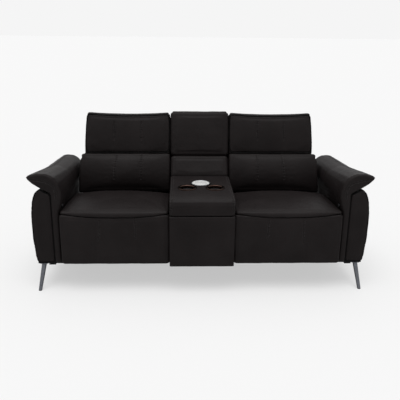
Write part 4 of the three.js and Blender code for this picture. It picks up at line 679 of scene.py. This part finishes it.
def normals_of(mesh):
    flat = np.zeros(len(mesh.vertices) * 3, np.float32)
    mesh.vertex_normals.foreach_get("vector", flat)
    return flat.reshape(-1, 3).astype(float)


def bake_modifiers(piece):
    """Replaces the piece's mesh by the one that its modifiers make."""
    bpy.context.view_layer.update()
    old = piece.data
    evaluated = piece.evaluated_get(bpy.context.evaluated_depsgraph_get())
    piece.data = bpy.data.meshes.new_from_object(evaluated)
    piece.modifiers.clear()
    bpy.data.meshes.remove(old)


def blow_up(piece, swell):
    """Pressure from inside for some frames. Each point ends on or outside its old place, by swell at most,
    and slides along the surface by half of that at most."""
    rest, normals = points_of(piece.data), normals_of(piece.data)
    move_points(piece.data, rest - normals * DRAWN_IN)
    cloth = piece.modifiers.new("cloth", "CLOTH")
    cloth.settings.quality = 4
    cloth.settings.use_pressure = True
    cloth.settings.uniform_pressure_force = PRESSURE
    cloth.settings.tension_stiffness = STIFFNESS
    cloth.settings.compression_stiffness = STIFFNESS
    cloth.settings.effector_weights.gravity = 0
    cloth.collision_settings.use_collision = False
    cloth.point_cache.frame_start = 1
    cloth.point_cache.frame_end = LAST_FRAME
    for number in range(1, LAST_FRAME + 1):
        bpy.context.scene.frame_set(number)
    bake_modifiers(piece)
    bpy.context.scene.frame_set(1)
    way = points_of(piece.data) - rest
    outward = (way * normals).sum(axis=1, keepdims=True)
    sliding = way - normals * outward
    length = np.linalg.norm(sliding, axis=1, keepdims=True)
    sliding *= np.minimum(1.0, swell / 2 / np.maximum(length, 1e-9))
    move_points(piece.data, rest + sliding + normals * np.clip(outward, 0, swell))


def fit_to_node(mesh, node, grown):
    """Stretches a form so that its box is its node's box again, grown a little at its low and high sides."""
    low, high = (np.array(corner) + np.array(more) for corner, more in zip(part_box(node), grown))
    points = points_of(mesh)
    now_low, now_high = points.min(0), points.max(0)
    move_points(mesh, (points - now_low) / (now_high - now_low) * (high - low) + low)


def relax_surface(mesh):
    """Lets the hide lie a little unevenly, as leather over foam does."""
    points, normals = points_of(mesh), normals_of(mesh)
    for depth, wavelength in (UNDULATION, PUCKER):
        scale = per_metre(wavelength)
        height = np.array([noise.noise(Vector(p) * scale) for p in points])
        points += normals * (height * depth)[:, None]
    move_points(mesh, points)


def lay_against(mesh, x, outward):
    """Flattens the side of a form where it lies against its neighbour."""
    points = points_of(mesh)
    inside = (x - points[:, 0]) * outward
    kept = np.where(inside < PRESSED / 2, 0, np.where(inside < PRESSED, 2 * inside - PRESSED, inside))
    points[:, 0] = x - kept * outward
    move_points(mesh, points)


def soft_form(node, swell, fine, voxel, calming, grown):
    """A full form from a soft node's solid: an even skin, smoothed, blown up, made fine if asked, and fitted
    to the node's grown box. A side that has grown along X lies against its neighbour."""
    piece = link("form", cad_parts[node].data.copy())
    skin = piece.modifiers.new("skin", "REMESH")
    skin.mode = "VOXEL"
    skin.voxel_size = voxel
    calm = piece.modifiers.new("calm", "SMOOTH")
    calm.factor = 0.5
    calm.iterations = calming
    bake_modifiers(piece)
    blow_up(piece, swell)
    if fine:
        rounds = piece.modifiers.new("fine", "SUBSURF")
        rounds.levels = 1
        bake_modifiers(piece)
    mesh = piece.data
    bpy.data.objects.remove(piece)
    fit_to_node(mesh, node, grown)
    relax_surface(mesh)
    for corner, more, outward in zip(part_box(node), grown, (-1, 1)):
        if more[0]:
            lay_against(mesh, corner[0] + more[0], outward)
    return mesh


def tree_of(mesh):
    shape = bmesh.new()
    shape.from_mesh(mesh)
    tree = BVHTree.FromBMesh(shape)
    shape.free()
    return tree


def laid_on(mesh, corners, closed=False):
    """Even points along straight runs between corners, laid on a mesh."""
    tree = tree_of(mesh)
    ring = corners + corners[:1] if closed else corners
    places = []
    for start, end in zip(ring, ring[1:]):
        count = max(1, round((end - start).length / SEAM_STEP))
        places += [start.lerp(end, number / count) for number in range(count)]
    if not closed:
        places.append(ring[-1])
    return np.array([tree.find_nearest(place)[0] for place in places])


def batches_near(points, line, reach):
    """The points in the box round a line, some at a time, and their gaps to each of the line's points."""
    low, high = line.min(0) - reach, line.max(0) + reach
    inside = np.flatnonzero(((points > low) & (points < high)).all(1))
    for start in range(0, len(inside), BATCH):
        part = inside[start:start + BATCH]
        yield part, np.linalg.norm(points[part, None] - line[None], axis=2)


def way_along(line):
    """How far along a line each of its points lies."""
    return np.concatenate([[0], np.cumsum(np.linalg.norm(np.diff(line, axis=0), axis=1))])


def refine_near(mesh, line, reach):
    """Halves the mesh's edges near a line."""
    points = points_of(mesh)
    near = np.zeros(len(points), bool)
    for part, gaps in batches_near(points, line, reach):
        near[part] = gaps.min(1) < reach
    shape = bmesh.new()
    shape.from_mesh(mesh)
    shape.verts.ensure_lookup_table()
    edges = [e for e in shape.edges if near[e.verts[0].index] and near[e.verts[1].index]]
    bmesh.ops.subdivide_edges(shape, edges=edges, cuts=1, use_grid_fill=True)
    shape.to_mesh(mesh)
    shape.free()


def press_seam(mesh, line, depth):
    """Draws the mesh in along a line, with small gathered folds on both sides."""
    points, normals = points_of(mesh), normals_of(mesh)
    way = way_along(line)
    rise, rise_place = SEAM_RIDGE
    fold_depth, fold_length, fold_reach = GATHER
    drift, drift_length = GATHER_DRIFT
    for part, gaps in batches_near(points, line, SEAM_REACH):
        gap = gaps.min(1)
        at = way[gaps.argmin(1)]
        valley = -depth * np.exp(-(gap / SEAM_WIDTH) ** 2)
        ridge = rise * depth * np.exp(-((gap - rise_place * SEAM_WIDTH) / SEAM_WIDTH) ** 2)
        fold = fold_depth * np.sin(2 * math.pi * at / fold_length + drift * np.sin(at / drift_length))
        fold *= np.exp(-(gap / fold_reach) ** 2) * (gap < SEAM_REACH)
        points[part] += normals[part] * (valley + ridge + fold)[:, None]
    move_points(mesh, points)


def thread_rows(mesh, line):
    """Two rows of stitches beside a seam, each stitch a short thread that dips into the hide at its ends."""
    tree = tree_of(mesh)
    way = way_along(line)
    stitches = []
    for number in range(int(way[-1] / STITCH_PITCH)):
        distance = (number + 0.5) * STITCH_PITCH
        here, ahead, behind = (Vector([np.interp(distance + more, way, line[:, k]) for k in range(3)])
                               for more in (0.0, SEAM_STEP, -SEAM_STEP))
        along = (ahead - behind).normalized()
        beside = along.cross(tree.find_nearest(here)[1]).normalized()
        for row in (-1, 1):
            place, up, _, _ = tree.find_nearest(here + beside * row * STITCH_OFFSET)
            across = along.cross(up).normalized()
            stitches.append([
                ring_of(place + along * at * STITCH_LENGTH + up * lift * STITCH_RADIUS, across, up,
                        STITCH_RADIUS * size, STITCH_SIDES)
                for at, size, lift in STITCH_RINGS])
    return tubes_through("threads", stitches, crisp_degrees=CRISP_ON_CORDS)


def loop_at(mesh, point, normal):
    """The longest closed loop in which a plane cuts a mesh, as even corners in order, a little smoothed."""
    shape = bmesh.new()
    shape.from_mesh(mesh)
    parts = shape.verts[:] + shape.edges[:] + shape.faces[:]
    cut = bmesh.ops.bisect_plane(shape, geom=parts, plane_co=point, plane_no=normal)["geom_cut"]
    # A dict keeps the edges' order, so that the loop starts at the same place in each run.
    edges = dict.fromkeys(part for part in cut if isinstance(part, bmesh.types.BMEdge))
    longest = []
    while edges:
        first, _ = edges.popitem()
        loop = [first.verts[0], first.verts[1]]
        while True:
            following = next((e for e in loop[-1].link_edges if e in edges), None)
            if following is None:
                break
            del edges[following]
            loop.append(following.other_vert(loop[-1]))
        if len(loop) > len(longest):
            longest = loop
    corners = [vert.co.copy() for vert in longest[:-1]]
    shape.free()
    even = []
    travelled = 0.0
    for here, following in zip(corners, corners[1:] + corners[:1]):
        travelled += (following - here).length
        if travelled >= PIPING_STEP:
            even.append(following)
            travelled = 0.0
    for _ in range(PIPING_CALMING):
        even = [(even[i - 1] + even[i] * 2 + even[(i + 1) % len(even)]) / 4 for i in range(len(even))]
    return even


def piping_on(mesh, corners):
    """A closed cord of piping that lies half sunk along a loop on a mesh."""
    tree = tree_of(mesh)
    laid = [tree.find_nearest(corner)[:2] for corner in corners]
    rings = []
    for number, (place, normal) in enumerate(laid):
        before, after = laid[number - 1], laid[(number + 1) % len(laid)]
        up = (before[1] + normal * 2 + after[1]).normalized()
        across = (after[0] - before[0]).normalized().cross(up).normalized()
        middle = place + up * PIPING_RADIUS * PIPING_LIFT
        rings.append(ring_of(middle, across, up, PIPING_RADIUS, PIPING_SIDES))
    return tubes_through("cord", [rings], closed=True, crisp_degrees=CRISP_ON_CORDS)


def place_soft(name, mesh, material, body, node=None):
    """A leather piece on its body, in place of a node's solid if one is named."""
    for face in mesh.polygons:
        face.use_smooth = True
    piece = link(name, mesh, material)
    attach(piece, body)
    if node:
        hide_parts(node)


def upholster(name, node, body, swell, paired=True, seams=(), depth=SEAM_DEPTH, loops=(), fine=True,
              shape=None, voxel=VOXEL, calming=CALMING, grown=NOT_GROWN):
    """Dresses a soft node, or both twins of a pair. What is given holds for the right-hand twin: seams are
    runs of corners, pressed in by depth, loops are planes, each a point and a normal, that cut it where its
    piping runs, and shape moves its points before it is sewn."""
    mesh = soft_form(f"right_{node}" if paired else node, swell, fine, voxel, calming, grown)
    if shape:
        move_points(mesh, shape(points_of(mesh)))
    threads, cords = [], []
    for corners in seams:
        line = laid_on(mesh, [Vector(corner) for corner in corners])
        refine_near(mesh, line, SEAM_REACH * REFINED_BY_SEAM)
        press_seam(mesh, line, depth)
        threads.append(thread_rows(mesh, line))
    for point, normal in loops:
        corners = loop_at(mesh, Vector(point), Vector(normal))
        line = laid_on(mesh, corners, closed=True)
        refine_near(mesh, line, SEAM_REACH * REFINED_BY_PIPING)
        press_seam(mesh, line, PIPING_GROOVE)
        cords.append(piping_on(mesh, corners))
    finished = [("", mesh, black_leather)]
    if threads:
        finished.append(("_stitching", joined("threads", threads), black_thread))
    if cords:
        finished.append(("_piping", joined("cords", cords), piping_leather_painted_shade))
    for side, sign in SIDES if paired else (("", 1),):
        prefix = f"{side}_" if side else ""
        rides = body if body in ("base", "leaf") else f"{prefix}{body}"
        for suffix, made, material in finished:
            placed = made.copy() if sign > 0 else reflected(made, 0)
            stands_for = None if suffix else f"{prefix}{node}"
            place_soft(f"{prefix}{name}{suffix}", placed, material, rides, stands_for)


upholster("wing_upholstery", "arm_wing", "base", swell=0.003,
          seams=[WING_CREASE, WING_CREST], depth=WING_SEAM_DEPTH)
upholster("bolster_upholstery", "arm_bolster", "base", swell=0.004, loops=[BOLSTER_PIPING])

# Seats
# High-resilience foam on zigzag springs under a sewn leather cover, crowned, with a nose that hangs over the
# footrest.

SEAT_VOXEL = 0.006
SEAT_CALMING = 2
TO_CONSOLE = (-0.0037, 0, 0)  # growth towards the console, so that no light comes through the joint

upholster("seat_upholstery", "seat_cushion", "seat", swell=0.006,
          voxel=SEAT_VOXEL, calming=SEAT_CALMING, grown=(TO_CONSOLE, (0, 0, 0)))

# Footrests
# A board padded in front, which closes the space under the seat. Two sewn channels draw its cover in.

FOOTREST_SEAMS = [[(0.400, -0.437, 0.472), (0.398, -0.437, 0.41), (0.396, -0.437, 0.350)],
                  [(0.609, -0.437, 0.460), (0.613, -0.437, 0.39), (0.617, -0.437, 0.317)]]
TO_SEAT = (0, 0, 0.003)  # growth up to the seat's nose

upholster("footrest_upholstery", "footrest_pad", "footrest", swell=0.003, seams=FOOTREST_SEAMS,
          voxel=SEAT_VOXEL, calming=SEAT_CALMING, grown=(TO_CONSOLE, TO_SEAT))

# Backs
# A cushion in front and a stapled cover behind share one steel frame. The headrest is a boxed pad with piping
# round its front panel, on a tube that turns in the frame.

BACK_FOOT = (0.205, 0.400)
BACK_LEAN = math.radians(12)
BACK_NORMAL = (0, math.cos(BACK_LEAN), -math.sin(BACK_LEAN))
BACK_SEAM_DEPTH = 0.0025
LUMBAR_FULLNESS = (0.020, 0.016)  # at its lower outer end: outward and down
LUMBAR_CORNER = 0.05
LUMBAR_GROWN = ((-0.0034, 0, 0), (0, 0, 0))
BACK_COVER_GROWN = ((-0.0072, 0, 0), (0, 0, 0))
HEADREST_DIP = 0.006
HEADREST_SLANT = 0.017  # its outer side's lean inward
HEADREST_CORNERS = (0.028, 0.022)  # outer and inner
HEADREST_GROWN = ((-0.0048, 0, 0), (0.009, 0, 0))


def on_back(x, across, up):
    """A place on the leaning back: across its thickness, and up along it from its pivots."""
    return (
        x,
        BACK_FOOT[0] + up * math.sin(BACK_LEAN) + across * math.cos(BACK_LEAN),
        BACK_FOOT[1] + up * math.cos(BACK_LEAN) - across * math.sin(BACK_LEAN),
    )


def up_the_back(points):
    """How far up the leaning back each point lies from its pivots."""
    return ((points[:, 1] - BACK_FOOT[0]) * math.sin(BACK_LEAN)
            + (points[:, 2] - BACK_FOOT[1]) * math.cos(BACK_LEAN))


def share_of(values):
    """Values as shares of the way from the least to the largest."""
    return (values - values.min()) / (values.max() - values.min())


def lower_along_back(points, drop):
    points[:, 1] -= drop * math.sin(BACK_LEAN)
    points[:, 2] -= drop * math.cos(BACK_LEAN)


def round_corner(points, outward, radius):
    """Rounds a top corner of a cushion, seen square to the back. outward is 1 or -1 along X."""
    up = up_the_back(points)
    beyond_x = (points[:, 0] * outward) - ((points[:, 0] * outward).max() - radius)
    beyond_up = up - (up.max() - radius)
    inside = (beyond_x > 0) & (beyond_up > 0)
    share = np.maximum(beyond_x, beyond_up) / np.maximum(np.hypot(beyond_x, beyond_up), 1e-9)
    lost = np.where(inside, 1 - share, 0)
    points[:, 0] -= outward * lost * beyond_x
    lower_along_back(points, lost * beyond_up)
    return points


def lumbar_shape(points):
    """Fuller low down at its outer end, where it meets the arm, with a rounded corner above."""
    below = 1 - share_of(up_the_back(points))
    across = share_of(points[:, 0])
    points[:, 0] += LUMBAR_FULLNESS[0] * across ** 2 * below ** 1.5
    points[:, 2] -= LUMBAR_FULLNESS[1] * across ** 6 * below ** 3
    return round_corner(points, 1, LUMBAR_CORNER)


def headrest_shape(points):
    """Narrower at its top than at its bottom, with a slight dip along the top and rounded corners."""
    share = share_of(up_the_back(points))
    across = share_of(points[:, 0])
    points[:, 0] -= HEADREST_SLANT * across * share
    lower_along_back(points, HEADREST_DIP * (1 - (2 * across - 1) ** 2) * share ** 2)
    return round_corner(round_corner(points, 1, HEADREST_CORNERS[0]), -1, HEADREST_CORNERS[1])


LUMBAR_SEAMS = [[on_back(top, -0.13, 0.327), on_back(middle, -0.14, 0.24), on_back(low, -0.13, 0.145)]
                for top, middle, low in ((0.394, 0.398, 0.399), (0.562, 0.572, 0.58))]
HEADREST_SEAMS = [[on_back(x, -0.105, 0.53), on_back(x, -0.105, 0.47), on_back(x, -0.1, 0.41)]
                  for x in (0.396, 0.578)]
HEADREST_PIPING = (on_back(0, -0.084, 0.5), BACK_NORMAL)

upholster("lumbar_upholstery", "lumbar_cushion", "back", swell=0.006, seams=LUMBAR_SEAMS,
          depth=BACK_SEAM_DEPTH, shape=lumbar_shape, grown=LUMBAR_GROWN)
upholster("back_cover_upholstery", "back_cover", "back", swell=0.002, fine=False,
          grown=BACK_COVER_GROWN)
upholster("headrest_upholstery", "headrest_pad", "headrest", swell=0.004, seams=HEADREST_SEAMS,
          depth=BACK_SEAM_DEPTH, shape=headrest_shape, loops=[HEADREST_PIPING], grown=HEADREST_GROWN)

# Console
# A padded cover over the carcass, a padded shell behind, and on it a roll and a plain headrest.

CONSOLE_VOXEL = 0.005
CONSOLE_CALMING = 1
ROLL_GROWN = ((-0.001, 0, 0), (0.001, 0, 0.005))
CENTRE_HEADREST_DIP = 0.005
CENTRE_HEADREST_CORNER = 0.022


def wider(growth):
    """Growth at both sides of a piece in the middle, which closes the joints beside it."""
    return ((-growth, 0, 0), (growth, 0, 0))


def centre_headrest_shape(points):
    """Rounded at both its top corners, with a slight dip between them."""
    share = share_of(up_the_back(points))
    across = points[:, 0] / points[:, 0].max()
    points[:, 2] -= CENTRE_HEADREST_DIP * (1 - across ** 2) * share ** 2
    return round_corner(round_corner(points, 1, CENTRE_HEADREST_CORNER), -1, CENTRE_HEADREST_CORNER)


upholster("console_upholstery", "console_cover", "base", swell=0.0015, paired=False, fine=False,
          voxel=CONSOLE_VOXEL, calming=CONSOLE_CALMING, grown=wider(0.0047))
upholster("console_back_upholstery", "console_back_shell", "base", swell=0.002, paired=False,
          fine=False, grown=wider(0.0069))
upholster("roll_upholstery", "console_roll", "base", swell=0.003, paired=False, grown=ROLL_GROWN)
upholster("centre_headrest_upholstery", "centre_headrest", "base", swell=0.004, paired=False,
          shape=centre_headrest_shape, grown=wider(0.0035))

# Leaf
# The table: foam and leather round a board, with a rolled front edge. It turns up on a pin to be the middle
# back. Seams run along both its sides.

LEAF_SEAMS = [[(x, -0.44, 0.515), (x, -0.45, 0.555), (x, -0.43, 0.595), (x, -0.4, 0.607), (x, 0.06, 0.607)]
              for x in (-0.182, 0.182)]

upholster("leaf_upholstery", "leaf_pad", "leaf", swell=0.0015, paired=False, fine=False,
          voxel=CONSOLE_VOXEL, calming=CONSOLE_CALMING, seams=LEAF_SEAMS, grown=wider(-0.0003))

# Cup holders
# Spun from stainless steel sheet and let into the leaf. A rolled rim hides the cut edge of the leather. A
# black moulded insert with a ribbed bottom keeps cups from rattling; its black wall, which rises to 16 mm
# under the rim, is painted shade that darkens the well.

CUP_PLACE = (0.087, -0.225)
TABLE_TOP = 0.605
CUP_SIDES = 96
CUP_PROFILE = [
    (0.047, -0.074), (0.047, -0.0015), (0.05, 0.0), (0.058, 0.0003), (0.0596, 0.0008), (0.0602, 0.002),
    (0.0596, 0.0034), (0.058, 0.0042), (0.055, 0.0044), (0.0505, 0.0041), (0.0472, 0.0032),
    (0.0456, 0.0015), (0.0452, -0.0015), (0.045, -0.03), (0.0448, -0.066), (0.044, -0.0705),
    (0.042, -0.0725), (0.038, -0.073),
]
# The insert's wall, which darkens the well as painted shade, and then its ribbed bottom.
SHADE_INSERT_PROFILE = [
    (0.0425, -0.0726), (0.044, -0.07), (0.0446, -0.064), (0.0448, -0.017), (0.0445, -0.016),
    (0.0438, -0.016), (0.0434, -0.017), (0.043, -0.064), (0.0424, -0.069), (0.041, -0.0704),
    (0.034, -0.0704), (0.0335, -0.0712), (0.029, -0.0712), (0.0285, -0.0704), (0.019, -0.0704),
    (0.0185, -0.0712), (0.014, -0.0712), (0.0135, -0.0704), (0.004, -0.0704),
]

# Spun steel: bright, with fine turning marks that dull it slightly and a warm brown tint.
SPUN_STEEL = ("#5c4842", "#33261f", (0.16, 0.3), (40, 40, 1.2))

spun_steel = worked_metal("spun_stainless_steel", *SPUN_STEEL)
for side, sign in SIDES:
    at = upright_at(CUP_PLACE[0] * sign, CUP_PLACE[1], TABLE_TOP)
    place_hard(f"{side}_cup_holder_spun", turned("cup", CUP_PROFILE, CUP_SIDES, at), spun_steel,
               "leaf", f"{side}_cup_holder")
    # The insert's tall black wall is painted shade inside the well.
    place_hard(f"{side}_cup_shade_insert", turned("insert", SHADE_INSERT_PROFILE, CUP_SIDES, at), black_abs,
               "leaf")

# Charging pad
# A turned aluminium disc that lies flush in the leaf behind the cup holders, with a raised bead round a pale
# satin face. Its coil is in the can below. A leather welt closes the joint round it.

DISC_Y = -0.119
DISC_PROFILE = [
    (0.0446, -0.0258), (0.045, -0.025), (0.045, -0.0024), (0.06, -0.0022), (0.0608, -0.0014),
    (0.061, 0.0004), (0.0604, 0.0018), (0.059, 0.0024), (0.0572, 0.002), (0.0562, 0.0008), (0.0558, -0.001),
    (0.001, -0.001),
]
FACE_PROFILE = [
    (0.055, -0.0008), (0.0554, 0.0004), (0.055, 0.0008), (0.042, 0.0009), (0.0414, 0.0004), (0.04, 0.0004),
    (0.0394, 0.0009), (0.018, 0.001), (0.0174, 0.0005), (0.016, 0.0005), (0.0154, 0.001), (0.001, 0.001),
]
WELT_RADIUS = 0.0036
WELT_RING = 0.0640
WELT_DROP = 0.0018  # its middle, below the table's top
WELT_STEPS = 72

# Turned aluminium: pale and bright, with the lathe's marks across it.
TURNED_ALUMINIUM = ("#aeb0b3", "#85878a", (0.22, 0.36), (30, 1.5, 30))

# Polycarbonate, frosted: nearly white, with a soft sheen.
FACE_COLOUR = "#c2c3c2"
FACE_PALE_COLOUR = "#d4d4d2"
FACE_ROUGHNESS = 0.38
FACE_IOR = 1.58
FROST_MM = 1.5
FROST_DEPTH = 0.0001


def satin_polycarbonate():
    material, tree, output = new_material("satin_polycarbonate_white")
    frost = patches(tree, own_place(tree), FROST_MM, detail=3.0)
    give_surface(tree, output, {
        "Base Color": two_tones(tree, frost, FACE_COLOUR, FACE_PALE_COLOUR),
        "Roughness": FACE_ROUGHNESS,
        "Normal": raised(tree, frost, strength=0.2, depth=FROST_DEPTH),
        "IOR": FACE_IOR,
    })
    return material


def make_welt():
    """A closed ring of round cord that lies flat round the disc."""
    middle = Vector((0, DISC_Y, TABLE_TOP - WELT_DROP))
    rings = []
    for number in range(WELT_STEPS):
        turn = 2 * math.pi * number / WELT_STEPS
        outward = Vector((math.cos(turn), math.sin(turn), 0))
        at = middle + outward * WELT_RING
        rings.append(ring_of(at, outward, Vector((0, 0, 1)), WELT_RADIUS, PIPING_SIDES))
    return tubes_through("ring", [rings], closed=True, crisp_degrees=CRISP_ON_CORDS)


at_disc = upright_at(0, DISC_Y, TABLE_TOP)
place_hard("charging_pad_turned", turned("disc", DISC_PROFILE, CUP_SIDES, at_disc),
           worked_metal("turned_aluminium", *TURNED_ALUMINIUM), "leaf", "charging_pad")
place_hard("charging_pad_face", turned("face", FACE_PROFILE, CUP_SIDES, at_disc),
           satin_polycarbonate(), "leaf")
# The welt wears the darkened piping hide: painted shade round the disc.
place_soft("charging_pad_welt", make_welt(), piping_leather_painted_shade, "leaf")

# Switches
# On the inner face of each arm, a black chrome bezel round a moulded button that is pressed to recline. The
# photograph shows the right one; the left seat needs one too.

SWITCH_PLACE = (-0.345, 0.530)
BEZEL_SIDES = 64
BEZEL_PROFILE = [
    (0.0136, 0.862), (0.0138, 0.845), (0.014, 0.8405), (0.0138, 0.8385), (0.0132, 0.8374), (0.0123, 0.837),
    (0.0114, 0.8374), (0.0107, 0.8384), (0.0105, 0.84), (0.0105, 0.849), (0.004, 0.8492),
]
BUTTON_SIDES = 48
BUTTON_PROFILE = [
    (0.0098, 0.8448), (0.0099, 0.8362), (0.0096, 0.835), (0.0089, 0.8342), (0.008, 0.834), (0.007, 0.8343),
    (0.005, 0.835), (0.0025, 0.8355), (0.0006, 0.8356),
]

# Black chrome plate over moulded ABS: a dark mirror with a hint of haze.
BLACK_CHROME = ("#232427", "#151618", (0.22, 0.36), (25, 25, 25))


def on_arm(sign):
    """Rings about the switch's axis, which runs across the sofa."""
    return lambda x: (Vector((sign * x, *SWITCH_PLACE)), Vector((0, 1, 0)), Vector((0, 0, 1)))


chrome_plate = worked_metal("black_chrome_plate", *BLACK_CHROME)
for side, sign in SIDES:
    place_hard(f"{side}_switch_bezel_plated", turned("bezel", BEZEL_PROFILE, BEZEL_SIDES, on_arm(sign)),
               chrome_plate, "base", f"{side}_switch_bezel")
    place_hard(f"{side}_recline_button_moulded",
               turned("button", BUTTON_PROFILE, BUTTON_SIDES, on_arm(sign)), black_abs,
               f"{side}_button", f"{side}_recline_button")
